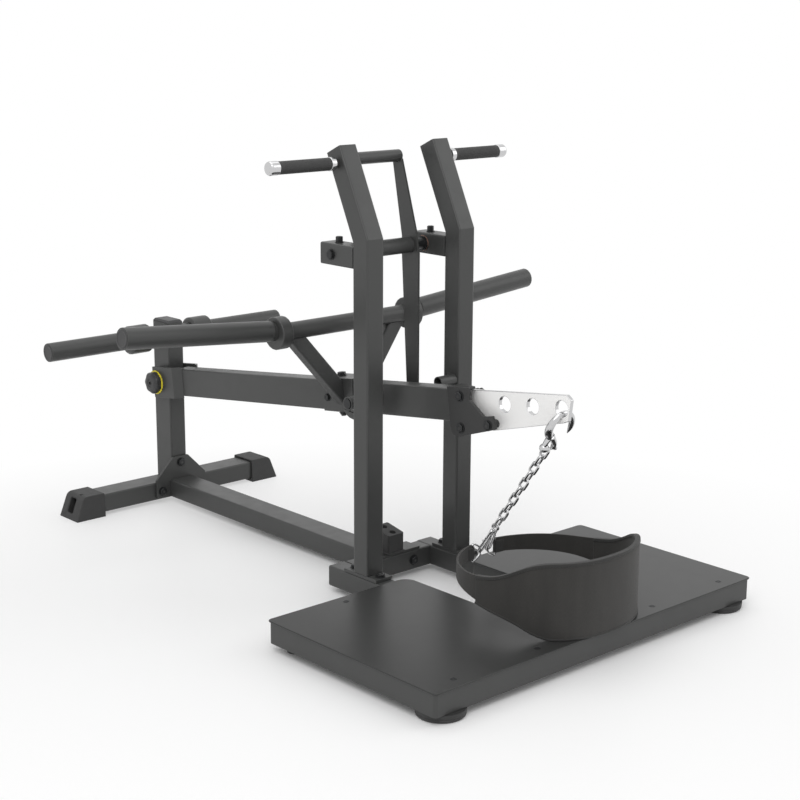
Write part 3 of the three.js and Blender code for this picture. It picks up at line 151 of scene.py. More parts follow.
class MachineStudio(bpy.types.PropertyGroup):
    """Camera and light."""

    place: FloatVectorProperty(
        name="Camera", description="Place of the camera", subtype="TRANSLATION", default=(-2.519, -2.9495, 1.359)
    )
    yaw: angle_property("Yaw", "Turn of the camera from +Y towards +X", 42.138)
    pitch: angle_property("Pitch", "Tilt of the camera below the horizon", 13.486)
    roll: angle_property("Roll", "Turn of the camera about its own axis", 0.237)
    lens: number_property("Lens", "Focal length for a 36 mm frame", 73.57)
    floor: colour_property("Floor", "Pale studio floor", (0.93, 0.93, 0.93))
    floor_middle: FloatVectorProperty(
        name="Floor middle", description="The floor turns white away from here", default=(-0.5, -0.5, 0)
    )
    floor_glow: number_property("Floor glow", "How much paler the floor looks than its light", 0.05)


# Handling of pieces


def take(*pieces):
    """Selects these pieces alone, with the first one active."""
    bpy.ops.object.select_all(action="DESELECT")
    for piece in pieces:
        piece.select_set(True)
    bpy.context.view_layer.objects.active = pieces[0]


def edit(piece):
    take(piece)
    bpy.ops.object.mode_set(mode="EDIT")
    bpy.ops.mesh.select_mode(type="FACE")


def leave():
    bpy.ops.object.mode_set(mode="OBJECT")


def leave_facing_out():
    """Turns the edited piece's faces outwards and leaves edit mode."""
    bpy.ops.mesh.select_all(action="SELECT")
    bpy.ops.mesh.normals_make_consistent(inside=False)
    leave()


def fix_place(piece):
    take(piece)
    bpy.ops.object.transform_apply(location=True, rotation=True, scale=True)


def stand(piece, place, way=(0, 0, 1)):
    """Puts a piece that was made about +Z at a place, with its axis along a way."""
    piece.rotation_euler = Vector(way).to_track_quat("Z", "Y").to_euler()
    piece.location = place
    fix_place(piece)
    return piece


def put(piece, matrix):
    piece.matrix_world = matrix
    fix_place(piece)
    return piece


def remove(piece):
    bpy.data.objects.remove(piece)


def added(name, make, **values):
    """A new piece made by an operator that adds one."""
    bpy.ops.object.select_all(action="DESELECT")
    make(**values)
    piece = bpy.context.object
    piece.name = name
    return piece


def cube(name, size, place=(0, 0, 0), turn=(0, 0, 0)):
    piece = added(name, bpy.ops.mesh.primitive_cube_add, size=1)
    piece.scale = size
    piece.rotation_euler = turn
    piece.location = place
    fix_place(piece)
    return piece


def join(name, pieces):
    take(*pieces)
    if len(pieces) > 1:
        bpy.ops.object.join()
    piece = bpy.context.object
    piece.name = name
    return piece


def copy_of(piece, name):
    made = bpy.data.objects.new(name, piece.data.copy())
    bpy.context.collection.objects.link(made)
    return made


def apply(piece, kind, **values):
    """Adds a modifier with these values and applies it."""
    take(piece)
    modifier = piece.modifiers.new(kind.title(), kind)
    for key, value in values.items():
        setattr(modifier, key, value)
    bpy.ops.object.modifier_apply(modifier=modifier.name)


def paint(piece, *materials):
    piece.data.materials.clear()
    for material in materials:
        piece.data.materials.append(material)


def smooth(piece, angle=35):
    take(piece)
    bpy.ops.object.shade_smooth_by_angle(angle=math.radians(angle))
    apply(piece, "WEIGHTED_NORMAL", keep_sharp=True, weight=50)


def round_edges(piece, width, segments=2, angle=20, edge_slot=-1):
    apply(
        piece,
        "BEVEL",
        width=width,
        segments=segments,
        limit_method="ANGLE",
        angle_limit=math.radians(angle),
        use_clamp_overlap=False,
        miter_outer="MITER_ARC",
        material=edge_slot,
    )


def polish(piece, name, width=0.0, segments=2, edge_angle=20, smooth_angle=35):
    """Rounds a piece's edges, smooths it and gives it a finish."""
    if width:
        round_edges(piece, width, segments, edge_angle)
    smooth(piece, smooth_angle)
    paint(piece, finish(name))
    return piece


def bevel_edges(piece, width, segments, test):
    """Rounds the edges of a piece whose two ends pass a test."""
    edit(piece)
    bpy.ops.mesh.select_mode(type="EDGE")
    bpy.ops.mesh.select_all(action="DESELECT")
    shape = bmesh.from_edit_mesh(piece.data)
    for edge in shape.edges:
        edge.select_set(test(edge.verts[0].co, edge.verts[1].co))
    bmesh.update_edit_mesh(piece.data)
    bpy.ops.mesh.bevel(offset=width, segments=segments, affect="EDGES")
    leave()


def carve(piece, tool):
    """Cuts a tool's shape out of a piece."""
    apply(piece, "BOOLEAN", operation="DIFFERENCE", solver="EXACT", object=tool)
    remove(tool)


def turned(name, profile, sides=48):
    """A round piece about Z, drawn up from a disc by extruding and scaling its end."""
    (here, radius), *rest = profile
    disc = {"vertices": sides, "radius": radius, "fill_type": "NGON", "location": (0, 0, here)}
    piece = added(name, bpy.ops.mesh.primitive_circle_add, **disc)
    fix_place(piece)
    edit(piece)
    bpy.ops.mesh.select_all(action="SELECT")
    for along, wide in rest:
        bpy.ops.mesh.extrude_region_move(TRANSFORM_OT_translate={"value": (0, 0, along - here)})
        share = wide / radius
        bpy.ops.transform.resize(value=(share, share, 1), center_override=(0, 0, along))
        here, radius = along, wide
    leave_facing_out()
    return piece


def scaled(radius, *points):
    """A profile whose radii are given as shares of one radius."""
    return [(along, share * radius) for along, share in points]


def settle(piece, body, slot, *nodes):
    """Lets a finished piece ride on its body, and hides the solids that it stands for."""
    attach(piece, body)
    if nodes:
        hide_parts(*nodes)
    return piece


def on_both_sides(place, body, *rows):
    """Copies of patterns on each side, each with its name, its slot and the solid that it stands for."""
    for word, side in SIDES:
        for pattern, name, slot, *nodes in rows:
            piece = stand(copy_of(pattern, f"{name}_{word}"), place, (side, 0, 0))
            settle(piece, body, slot, *(f"{node}_{word}" for node in nodes))
    for pattern, *_ in rows:
        remove(pattern)


def merged_copy(node, name):
    """A copy of a solid as a piece, with its triangles merged into whole faces."""
    piece = copy_of(NODES[node], name)
    piece.data.materials.clear()
    take(piece)
    if piece.data.has_custom_normals:
        bpy.ops.mesh.customdata_custom_splitnormals_clear()
    edit(piece)
    bpy.ops.mesh.select_all(action="SELECT")
    bpy.ops.mesh.remove_doubles(threshold=0.00002)
    bpy.ops.mesh.mark_sharp(clear=True)
    bpy.ops.mesh.dissolve_limited(angle_limit=math.radians(0.6))
    leave()
    return piece


def dressed(node, materials, width, segments=2, angle=20):
    """A solid with its edges rounded and finished. The second material goes on the rounded edges."""
    piece = merged_copy(node, f"{node}_finished")
    paint(piece, *materials)
    round_edges(piece, width, segments, angle, len(materials) - 1)
    smooth(piece)
    return settle(piece, BODY_OF[node], SLOT_OF[node], node)


def dress_in_paint(width, *nodes):
    for node in nodes:
        dressed(node, painted(), width)


def arm_place(along, rise, across=0.0):
    """A point of the arm: along it from its pivot, square to it, and across the machine."""
    pivot = JOINT_PLACE["arm_pivot"]
    slope = math.radians(7.13)
    back = pivot.y - along * math.cos(slope) + rise * math.sin(slope)
    return Vector((across, back, pivot.z + along * math.sin(slope) + rise * math.cos(slope)))


ARM_UP = arm_place(0, 1) - arm_place(0, 0)


# Finishes


def new_material(name):
    """A material with its shader and the object's own coordinates."""
    material = bpy.data.materials.new(name)
    material.use_nodes = True
    tree = material.node_tree
    return material, tree, tree.nodes["Principled BSDF"], add_node(tree, "TexCoord").outputs["Object"]


def feed(tree, node, inputs):
    """Sets a node's inputs to values, or links them to other nodes' outputs."""
    for key, value in inputs.items():
        if isinstance(value, bpy.types.NodeSocket):
            tree.links.new(value, node.inputs[key])
        else:
            node.inputs[key].default_value = value


def add_node(tree, kind, inputs=None, **settings):
    node = tree.nodes.new(f"ShaderNode{kind}")
    for key, value in settings.items():
        setattr(node, key, value)
    feed(tree, node, inputs or {})
    return node


def calculated(tree, operation, *values):
    return add_node(tree, "Math", dict(enumerate(values)), operation=operation).outputs["Value"]


def noise(tree, place, scale, detail=2.0, stretch=(1, 1, 1)):
    mapping = add_node(tree, "Mapping", {"Scale": stretch, "Vector": place})
    inputs = {"Scale": scale, "Detail": detail, "Vector": mapping.outputs["Vector"]}
    return add_node(tree, "TexNoise", inputs).outputs["Fac"]


def spread(tree, value, low, high, start=0.3, end=0.7):
    """A value between start and end, spread from low to high."""
    inputs = {"From Min": start, "From Max": end, "To Min": low, "To Max": high, "Value": value}
    return add_node(tree, "MapRange", inputs).outputs["Result"]


def blended(tree, share, colour, low, high):
    """A colour between two tints of one colour."""
    first, second = ((*(min(1.0, part * tint) for part in colour), 1) for tint in (low, high))
    inputs = {"A": first, "B": second, "Factor": share}
    return add_node(tree, "Mix", inputs, data_type="RGBA").outputs["Result"]


def relief(tree, height, distance):
    return add_node(tree, "Bump", {"Distance": distance, "Strength": 1.0, "Height": height}).outputs["Normal"]


def grained(
    name, colour, roughness, grain, depth, metallic=0.0, tints=0.06, cloud=9.0, gloss_spread=0.04, specular=0.5
):
    """A finish with a fine grain, and with colour and gloss that vary a little from place to place."""
    material, tree, shader, place = new_material(name)
    clouds = noise(tree, place, cloud, 3)
    fine_clouds = noise(tree, place, 3 * cloud, 4)
    inputs = {
        "Base Color": blended(tree, clouds, colour, 1 - tints, 1 + tints),
        "Roughness": spread(tree, fine_clouds, roughness - gloss_spread, roughness + gloss_spread),
        "Normal": relief(tree, noise(tree, place, grain, 2), depth),
        "Metallic": metallic,
        "Specular IOR Level": specular,
    }
    feed(tree, shader, inputs)
    return material


def chrome_finish(values):
    """Plating with faint polishing lines and a slightly uneven gloss."""
    material, tree, shader, place = new_material("polished_chrome")
    uneven = 0.03
    low, high = values.chrome_roughness - uneven, values.chrome_roughness + uneven
    lines = noise(tree, place, 220, 3, (1, 8, 1))
    inputs = {
        "Base Color": blended(tree, noise(tree, place, 18, 2), values.chrome, 0.97, 1.02),
        "Roughness": spread(tree, noise(tree, place, 60, 4), low, high),
        "Normal": relief(tree, lines, 0.00001),
        "Metallic": 1.0,
    }
    feed(tree, shader, inputs)
    return material


def woven_finish(name, colour, rib, depth):
    """Webbing with ribs across its length. Its own map is in metres along the belt and up it."""
    material, tree, shader, _ = new_material(name)
    place = add_node(tree, "UVMap", uv_map="UVMap").outputs["UV"]
    waves_in_a_rib = 3.183
    wave = {"Scale": 1 / (rib * waves_in_a_rib), "Distortion": 0.6, "Detail": 2, "Vector": place}
    ribs = add_node(tree, "TexWave", wave, bands_direction="X").outputs["Fac"]
    threads = noise(tree, place, 160, 3, (9, 1, 1))
    fade = noise(tree, place, 9, 3, (3, 0.6, 1))
    thread_share = 0.6
    share = spread(tree, calculated(tree, "MULTIPLY", threads, fade), 0, 1, 0.12, 0.4)
    inputs = {
        "Base Color": blended(tree, share, colour, 0.8, 1.22),
        "Normal": relief(tree, calculated(tree, "MULTIPLY_ADD", threads, thread_share, ribs), depth),
        "Roughness": 0.82,
        "Sheen Weight": 0.12,
        "Sheen Roughness": 0.5,
    }
    feed(tree, shader, inputs)
    return material


# What the painted finishes share.
COAT = {"grain": 700, "depth": 0.00006, "specular": 0.42}
FINISHES = {
    "paint": lambda values: grained("satin_paint", values.paint, values.paint_roughness, **COAT),
    # The rounded edges' paint is lighter than the flat faces' paint, a painted highlight.
    "edge_highlight": lambda values: grained("painted_edge_highlight", values.edge_highlight_paint, values.paint_roughness, tints=0.02, **COAT),
    "black": lambda values: grained("black_paint", values.black_paint, values.paint_roughness, tints=0.03, **COAT),
    "deck": lambda values: grained(
        "deck_paint", values.deck, 0.34, grain=700, depth=0.00003, tints=0.02, gloss_spread=0.008, specular=0.28
    ),
    "rubber": lambda values: grained("moulded_rubber", values.rubber, 0.62, grain=900, depth=0.00012, cloud=20),
    "plastic": lambda values: grained("moulded_plastic", values.plastic, 0.45, grain=1100, depth=0.00005, cloud=20),
    "bolt": lambda values: grained(
        "blackened_steel", values.bolt, 0.38, grain=1500, depth=0.00004, metallic=0.55, cloud=60
    ),
    "copper": lambda values: grained(
        "copper_washer", values.copper, 0.32, grain=1500, depth=0.00002, metallic=1.0, cloud=80
    ),
    "yellow": lambda values: grained(
        "yellow_washer", values.yellow, 0.45, grain=1200, depth=0.00003, tints=0.04, cloud=60
    ),
    "plating": lambda values: grained(
        "satin_plating",
        values.plating,
        values.plating_roughness,
        grain=260,
        depth=0.00002,
        metallic=0.05,
        tints=0.01,
        cloud=25,
    ),
    "chrome": chrome_finish,
    "cloth": lambda values: woven_finish("belt_cloth", values.cloth, rib=0.0021, depth=0.00025),
    "binding": lambda values: woven_finish("belt_binding", values.binding, rib=0.0012, depth=0.00015),
}
MADE = {}


def finish(name):
    """A finish by its name, made once."""
    if name not in MADE:
        MADE[name] = FINISHES[name](bpy.context.scene.machine_finish)
    return MADE[name]


def painted():
    # The second finish, a little lighter, is a painted highlight on the rounded edges.
    return (finish("paint"), finish("edge_highlight"))


# Small pieces that repeat


def bolt_head(name, radius, height):
    """A hexagonal head with a chamfered top and a washer under it."""
    washer, chamfer, dish = 0.0014, 0.0012, 0.0007
    top = ((height - chamfer, 1), (height, 0.86), (height, 0.4), (height - dish, 0.36))
    head = turned(f"{name}_head", scaled(radius, (washer, 1), *top), 6)
    round_edges(head, 0.0003, 2, 25)
    ring = turned(f"{name}_washer", scaled(radius, (0, 1.22), (washer, 1.22)), 32)
    round_edges(ring, 0.0004, 2, 40)
    return polish(join(name, [head, ring]), "bolt")


def bolts(name, body, radius, height, sites):
    """Copies of one bolt head at several places, each along its own way, as one piece."""
    pattern = bolt_head(f"{name}_pattern", radius, height)
    copies = [stand(copy_of(pattern, f"{name}_{i}"), place, way) for i, (place, way) in enumerate(sites)]
    remove(pattern)
    return settle(join(name, copies), body, "black_steel")


def deck_screw(name, radius):
    """A flat screw head with a chamfered rim and a cross recess."""
    top, depth = 0.0007, 0.0012
    head = turned(name, scaled(radius, (-0.001, 1), (0.0003, 1), (top, 0.86), (top, 0.3)), 32)
    for turn in (0.25 * HALF_TURN, 0.75 * HALF_TURN):
        carve(head, cube("recess", (1.15 * radius, 0.26 * radius, depth), (0, 0, top), (0, 0, turn)))
    return polish(head, "bolt")


def end_plug(name, radius):
    """A plug in a tube's end, with a rounded rim and a shallow dish."""
    rim, dish = 0.0016, 0.0009
    profile = scaled(radius, (-0.003, 0.88), (0.0004, 0.88), (rim, 0.83), (rim, 0.7), (dish, 0.64), (dish, 0.1))
    return polish(turned(name, profile), "plastic", 0.0003, 2, 25)


# The machine's pieces


class MACHINE_OT_platform(bpy.types.Operator):
    """Finish the platform's deck, skirt and screws"""

    bl_idname = "machine.platform"
    bl_label = "Platform"
    screw_places = ((0.304, -0.3275), (0.424, -0.7965), (0.185, -0.7975))
    lip = 0.0022

    def execute(self, context):
        detail = context.scene.machine_detail
        dressed("platform_deck", (finish("deck"),), self.lip, 4, 40)
        dressed("platform_skirt", painted(), detail.fine_edge, 2, 40)
        pattern = deck_screw("screw_pattern", detail.screw_radius)
        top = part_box("platform_deck")[1].z
        sites = [(side * x, y, top) for _, side in SIDES for x, y in self.screw_places]
        screws = [stand(copy_of(pattern, f"screw_{i}"), site) for i, site in enumerate(sites)]
        remove(pattern)
        settle(join("platform_screws", screws), "frame", "black_steel")
        return {"FINISHED"}


class MACHINE_OT_feet(bpy.types.Operator):
    """Model the rubber feet under the platform"""

    bl_idname = "machine.feet"
    bl_label = "Feet"

    def execute(self, context):
        low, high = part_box("front_foot_right")
        middle = (low + high) / 2
        groove = ((0.0065, 0.985), (0.0075, 0.96), (0.009, 0.985))
        profile = scaled((high.x - low.x) / 2, (0, 0.9), (0.003, 0.97), *groove, (0.0125, 1), (high.z, 1))
        disc = polish(turned("front_foot_pattern", profile, 64), "rubber", 0.0006, 2, 30)
        for name, side in SIDES:
            foot = stand(copy_of(disc, f"front_disc_{name}"), (side * middle.x, middle.y, 0))
            settle(foot, "frame", "rubber_black", f"front_foot_{name}")
            dressed(f"rear_foot_{name}", (finish("rubber"),), context.scene.machine_detail.edge, 2, 30)
        remove(disc)
        return {"FINISHED"}


class MACHINE_OT_base(bpy.types.Operator):
    """Finish the base's tubes and plates"""

    bl_idname = "machine.base"
    bl_label = "Base"

    def execute(self, context):
        tubes = ("side_base_tube_right", "side_base_tube_left", "base_cross_tube", "base_beam")
        edge = context.scene.machine_detail.edge
        dress_in_paint(edge, *tubes, "arm_stop_plate", "rear_end_plate", "rear_crossbar")
        return {"FINISHED"}


class MACHINE_OT_end_caps(bpy.types.Operator):
    """Model the rubber caps on the rear crossbar, with the slot in each end"""

    bl_idname = "machine.end_caps"
    bl_label = "End caps"
    # Places are given inwards from the cap's end, back from its middle and up.
    slot_size, slot_place = (0.044, 0.027, 0.041), (0.0135, 0.003, 0.0365)
    slot_lean, slot_edge = math.radians(20.7), 0.004
    dimple_inwards, dimple_back = 0.036, -0.012
    shoulder, shoulder_edge, shoulder_width = 0.06, 0.012, 0.03

    def execute(self, context):
        for name, side in SIDES:
            node = f"crossbar_cap_{name}"
            low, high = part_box(node)
            back = (low.y + high.y) / 2
            outer = high.x if side > 0 else low.x
            piece = merged_copy(node, f"end_cap_{name}")
            inwards, behind, rise = self.slot_place
            place = (outer - side * inwards, back + behind, rise)
            slot = cube("cap_slot", self.slot_size, place, (0, -side * self.slot_lean, 0))
            round_edges(slot, self.slot_edge, 3, 30)
            end = side * outer - self.shoulder_width

            def on_shoulder(a, b):
                return min(a.z, b.z) > self.shoulder and min(side * a.x, side * b.x) > end

            bevel_edges(piece, self.shoulder_edge, 5, on_shoulder)
            carve(piece, slot)
            dimple = turned("cap_dimple", [(0.056, 0.0036), (0.08, 0.0046)], 24)
            carve(piece, stand(dimple, (outer - side * self.dimple_inwards, back + self.dimple_back, 0)))
            settle(polish(piece, "rubber", 0.0024, 3, 25, 40), "frame", "rubber_black", node)
        return {"FINISHED"}


class MACHINE_OT_arm_stop(bpy.types.Operator):
    """Finish the rubber stop under the arm"""

    bl_idname = "machine.arm_stop"
    bl_label = "Arm stop"

    def execute(self, context):
        low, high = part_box("arm_stop")
        middle = (low.y + high.y) / 2
        block = merged_copy("arm_stop", "arm_stop_block")
        bevel_edges(block, 0.0045, 2, lambda a, b: abs(a.z - b.z) > 0.03 and abs(a.x) > 0.02)
        flange = merged_copy("arm_stop", "arm_stop_flange")
        height, reach, widening = 0.0045, 0.002, 1.06
        for vertex in flange.data.vertices:
            vertex.co.z = min(vertex.co.z, low.z + height)
            vertex.co.x *= widening
            vertex.co.y += reach if vertex.co.y > middle else -reach
        pieces = [polish(piece, "rubber", 0.0012, 3, 30) for piece in (block, flange)]
        settle(join("rubber_stop", pieces), "frame", "rubber_black", "arm_stop")
        return {"FINISHED"}


class MACHINE_OT_rear_post(bpy.types.Operator):
    """Finish the rear post, its cap and the storage pegs"""

    bl_idname = "machine.rear_post"
    bl_label = "Rear post"

    def execute(self, context):
        edge = context.scene.machine_detail.edge
        dressed("rear_post", painted(), edge)
        dressed("rear_post_cap", (finish("plastic"),), 0.0016, 3, 20)
        for name, side in SIDES:
            node = f"storage_peg_{name}"
            dressed(node, painted(), edge)
            low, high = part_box(node)
            tip = (low + high) / 2
            tip.x = high.x if side > 0 else low.x
            plug = stand(end_plug(f"storage_plug_{name}", PEG_RADIUS), tip, (side, 0, 0))
            settle(plug, "frame", "black_plastic")
        return {"FINISHED"}


class MACHINE_OT_uprights(bpy.types.Operator):
    """Finish the uprights, their foot plates, the carriers and the stub that stops the lever"""

    bl_idname = "machine.uprights"
    bl_label = "Uprights"

    def execute(self, context):
        for name, _ in SIDES:
            nodes = (f"{part}_{name}" for part in ("upright", "foot_plate", "lever_carrier"))
            dress_in_paint(context.scene.machine_detail.edge, *nodes)
        dress_in_paint(context.scene.machine_detail.fine_edge, "lever_stop")
        return {"FINISHED"}


class MACHINE_OT_grips(bpy.types.Operator):
    """Model the rubber grips and their chrome ends"""

    bl_idname = "machine.grips"
    bl_label = "Grips"

    def execute(self, context):
        low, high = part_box("grip_bar_right")
        origin = (0, (low.y + high.y) / 2, (low.z + high.z) / 2)
        start, end = (corner.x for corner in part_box("grip_right"))
        tip = high.x
        neck_end, neck_radius = low.x + 0.0107, 0.0105
        wide, narrow = 0.0158, 0.0151
        neck = turned("neck_pattern", [(low.x, neck_radius), (neck_end, neck_radius)])
        polish(neck, "rubber", 0.0006, 2, 40)
        collar = turned("collar_pattern", [(neck_end, wide), (start - 0.0008, wide), (start, narrow)])
        round_edges(collar, 0.0007, 3, 25)
        profile = [(end, narrow), (end + 0.0012, wide), (tip - 0.0045, wide), (tip - 0.0012, 0.0142)]
        profile += [(tip - 0.0012, 0.0098), (tip - 0.0002, 0.0086), (tip, 0.0045)]
        cap = turned("cap_pattern", profile)
        round_edges(cap, 0.0006, 3, 20)
        ends = polish(join("ends_pattern", [collar, cap]), "chrome", smooth_angle=30)
        sleeve = polish(turned("sleeve_pattern", self.sleeve_profile(start, end)), "rubber", smooth_angle=50)
        on_both_sides(
            origin,
            "frame",
            (ends, "grip_ends", "bright_chrome", "grip_bar"),
            (sleeve, "grip_sleeve", "rubber_black", "grip"),
            (neck, "grip_neck", "rubber_black"),
        )
        return {"FINISHED"}

    def sleeve_profile(self, start, end):
        """Two plain ends with fine rings between them."""
        radius, ring, plain, lip = 0.0145, 0.0024, 0.008, 0.0008
        points = [(start, 0.93), (start + lip, 1), (start + plain, 1)]
        along = start + plain
        while along + ring < end - plain:
            steps = ((0.15, 0.978), (0.35, 0.978), (0.5, 1), (1, 1))
            points += [(along + step * ring, share) for step, share in steps]
            along += ring
        return scaled(radius, *points, (end - lip, 1), (end, 0.93))


class MACHINE_OT_lever(bpy.types.Operator):
    """Finish the release lever, its shaft and the copper washers"""

    bl_idname = "machine.lever"
    bl_label = "Release lever"

    def execute(self, context):
        detail = context.scene.machine_detail
        nodes = ("lever_plate_right", "lever_plate_left", "lever_sleeve", "lever_handle")
        dress_in_paint(detail.edge, *nodes)
        dressed("lever_shaft", (finish("bolt"),), detail.fine_edge, 2, 30)
        radius, start, end = 0.0182, 0.1155, 0.1168
        washer = polish(turned("washer_pattern", [(start, radius), (end, radius)]), "copper", 0.0004, 2, 40)
        low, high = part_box("lever_handle")
        middle = (low + high) / 2
        plug = end_plug("handle_plug_pattern", (high.z - low.z) / 2)
        for name, side in SIDES:
            way, tip = (side, 0, 0), (side * high.x, middle.y, middle.z)
            ring = stand(copy_of(washer, f"copper_washer_{name}"), JOINT_PLACE["lever_pivot"], way)
            settle(ring, "frame", "black_steel")
            settle(stand(copy_of(plug, f"handle_plug_{name}"), tip, way), "lever", "black_plastic")
        remove(washer)
        remove(plug)
        return {"FINISHED"}


class MACHINE_OT_arm(bpy.types.Operator):
    """Finish the arm, its yoke, struts, saddle and catch"""

    bl_idname = "machine.arm"
    bl_label = "Arm"

    def execute(self, context):
        edge = context.scene.machine_detail.edge
        dress_in_paint(edge, "arm_tube", "strut_saddle")
        for name, _ in SIDES:
            dress_in_paint(edge, *(f"{part}_{name}" for part in ("yoke_cheek", "strut", "catch_bush")))
        for node in ("catch_pin", "arm_pivot_shaft"):
            dressed(node, (finish("bolt"),), edge)
        return {"FINISHED"}


class MACHINE_OT_knobs(bpy.types.Operator):
    """Model the lobed knobs and yellow washers on the arm's shaft"""

    bl_idname = "machine.knobs"
    bl_label = "Knobs"

    def execute(self, context):
        detail = context.scene.machine_detail
        start, end = (corner.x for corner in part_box("pivot_knob_right"))
        washer, washer_radius = 0.0021, 0.0332
        ring = turned("ring_pattern", [(start, washer_radius), (start + washer, washer_radius)], 64)
        polish(ring, "yellow", 0.0005, 2, 40)
        side_wall = ((start + 0.0019, 0.9), (start + 0.003, 1), (end - 0.0095, 1))
        dome = ((end - 0.0055, 0.965), (end - 0.0028, 0.88), (end - 0.001, 0.76), (end, 0.6), (end, 0.38))
        boss = ((end - 0.0018, 0.34), (end - 0.0014, 0.17), (end - 0.0002, 0.16))
        hole = ((end - 0.0002, 0.13), (end - 0.012, 0.12))
        radius = detail.knob_radius
        knob = turned("knob_pattern", scaled(radius, *side_wall, *dome, *boss, *hole), 64)
        for vertex in knob.data.vertices:
            out = math.hypot(vertex.co.x, vertex.co.y)
            if out > 0.5 * radius:
                angle = math.atan2(vertex.co.y, vertex.co.x)
                share = 1 - detail.knob_hollow * (0.5 + 0.5 * math.cos(detail.knob_lobes * angle)) / out
                vertex.co.x *= share
                vertex.co.y *= share
        polish(knob, "plastic", 0.0004, 2, 30, 50)
        rows = ((ring, "yellow_washer", "black_plastic"), (knob, "knob", "black_plastic", "pivot_knob"))
        on_both_sides(JOINT_PLACE["arm_pivot"], "arm", *rows)
        return {"FINISHED"}


class MACHINE_OT_weights(bpy.types.Operator):
    """Finish the weight bar, its hubs and the pegs for the plates"""

    bl_idname = "machine.weights"
    bl_label = "Weight bar"
    along, rise, peg_start, peg_length = 0.795, 0.1825, 0.204, 0.4295
    tilt = math.radians(4.94)

    def execute(self, context):
        detail = context.scene.machine_detail
        dressed("weight_bar", painted(), detail.edge)
        for name, side in SIDES:
            dressed(f"weight_hub_{name}", painted(), detail.soft_edge, 3, 30)
            dressed(f"weight_peg_{name}", painted(), detail.edge)
            start = arm_place(self.along, self.rise, side * self.peg_start)
            way = Vector((side * math.cos(self.tilt), 0, 0)) + math.sin(self.tilt) * ARM_UP
            plug = stand(end_plug(f"peg_plug_{name}", PEG_RADIUS), start + self.peg_length * way, way)
            settle(plug, "arm", "black_plastic")
        return {"FINISHED"}


class MACHINE_OT_hook_plate(bpy.types.Operator):
    """Finish the front bracket and the plated hook plate, with darker chrome on its rim and the walls of its holes as
    painted shade inside the holes
    """

    bl_idname = "machine.hook_plate"
    bl_label = "Hook plate"

    def execute(self, context):
        dressed("hook_bracket", (finish("black"),), 0.0014, 3, 25)
        plate = dressed("hook_plate", (finish("plating"), finish("chrome")), context.scene.machine_detail.edge, 3, 30)
        # Painted shade: the rim and the walls of the holes take the darker chrome, which darkens the holes.
        hole_shade_slot, flat = 1, 0.3
        for face in plate.data.polygons:
            if abs(face.normal.x) < flat:
                face.material_index = hole_shade_slot
        return {"FINISHED"}


class MACHINE_OT_bolts(bpy.types.Operator):
    """Model the bolt heads with their washers"""

    bl_idname = "machine.bolts"
    bl_label = "Bolts"
    # Places on the frame are given across it, back and up.
    cross_tube_place = (0.061, -0.1525, 0.039)
    end_plate_back = 0.7492
    end_plate_places = ((0, 0.109), (0.064, 0.035), (-0.064, 0.035))
    upright_across = 0.142
    foot_plate_top = 0.0723
    foot_plate_backs = (-0.2605, -0.1715)
    carrier_top, carrier_front, carrier_rear, carrier_rear_height = 0.836, -0.1842, -0.1172, 0.014
    shaft_across, shaft_radius = 0.1671, 0.0105
    # Places on the arm are given along it, above its middle line and across it.
    saddle_top_place, saddle_top_height = (0.762, 0.0458), 0.0095
    saddle_side_place = (0.741, -0.004, 0.0336)
    saddle_under_place = (0.793, -0.0385, 0.0296)
    bracket_places = ((1.2106, 0.0236), (1.2067, -0.0488), (1.2935, -0.0376))
    bracket_across = 0.034

    def execute(self, context):
        detail = context.scene.machine_detail
        large, height = detail.bolt_radius, detail.bolt_height
        small, small_height = detail.small_bolt_radius, detail.small_bolt_height
        front, up = (0, -1, 0), (0, 0, 1)
        sides = [side for _, side in SIDES]
        across, back, rise = self.cross_tube_place
        sites = [((side * across, back, rise), front) for side in sides]
        sites += [((x, self.end_plate_back, z), front) for x, z in self.end_plate_places]
        across, top = self.upright_across, self.foot_plate_top
        sites += [((side * across, y, top), up) for side in sides for y in self.foot_plate_backs]
        bolts("base_bolts", "frame", large, height, sites)
        rows = (("front", self.carrier_front, height), ("rear", self.carrier_rear, self.carrier_rear_height))
        for name, back, tall in rows:
            sites = [((side * across, back, self.carrier_top), up) for side in sides]
            bolts(f"carrier_{name}_bolts", "frame", small, tall, sites)
        shaft = JOINT_PLACE["lever_pivot"]
        sites = [((side * self.shaft_across, shaft.y, shaft.z), (side, 0, 0)) for side in sides]
        bolts("shaft_bolts", "frame", self.shaft_radius, height, sites)
        bolts("saddle_top_bolt", "arm", large, self.saddle_top_height, [(arm_place(*self.saddle_top_place), ARM_UP)])
        along, rise, across = self.saddle_side_place
        sites = [(arm_place(along, rise, side * across), (side, 0, 0)) for side in sides]
        along, rise, across = self.saddle_under_place
        sites += [(arm_place(along, rise, side * across), -ARM_UP) for side in sides]
        bolts("saddle_bolts", "arm", small, small_height, sites)
        across, places = self.bracket_across, self.bracket_places
        sites = [(arm_place(*place, -across), (-1, 0, 0)) for place in places]
        sites += [(arm_place(*place, across), (1, 0, 0)) for place in places[1:]]
        bolts("bracket_bolts", "arm", large, small_height, sites)
        return {"FINISHED"}


# Hook, chain and snap hooks


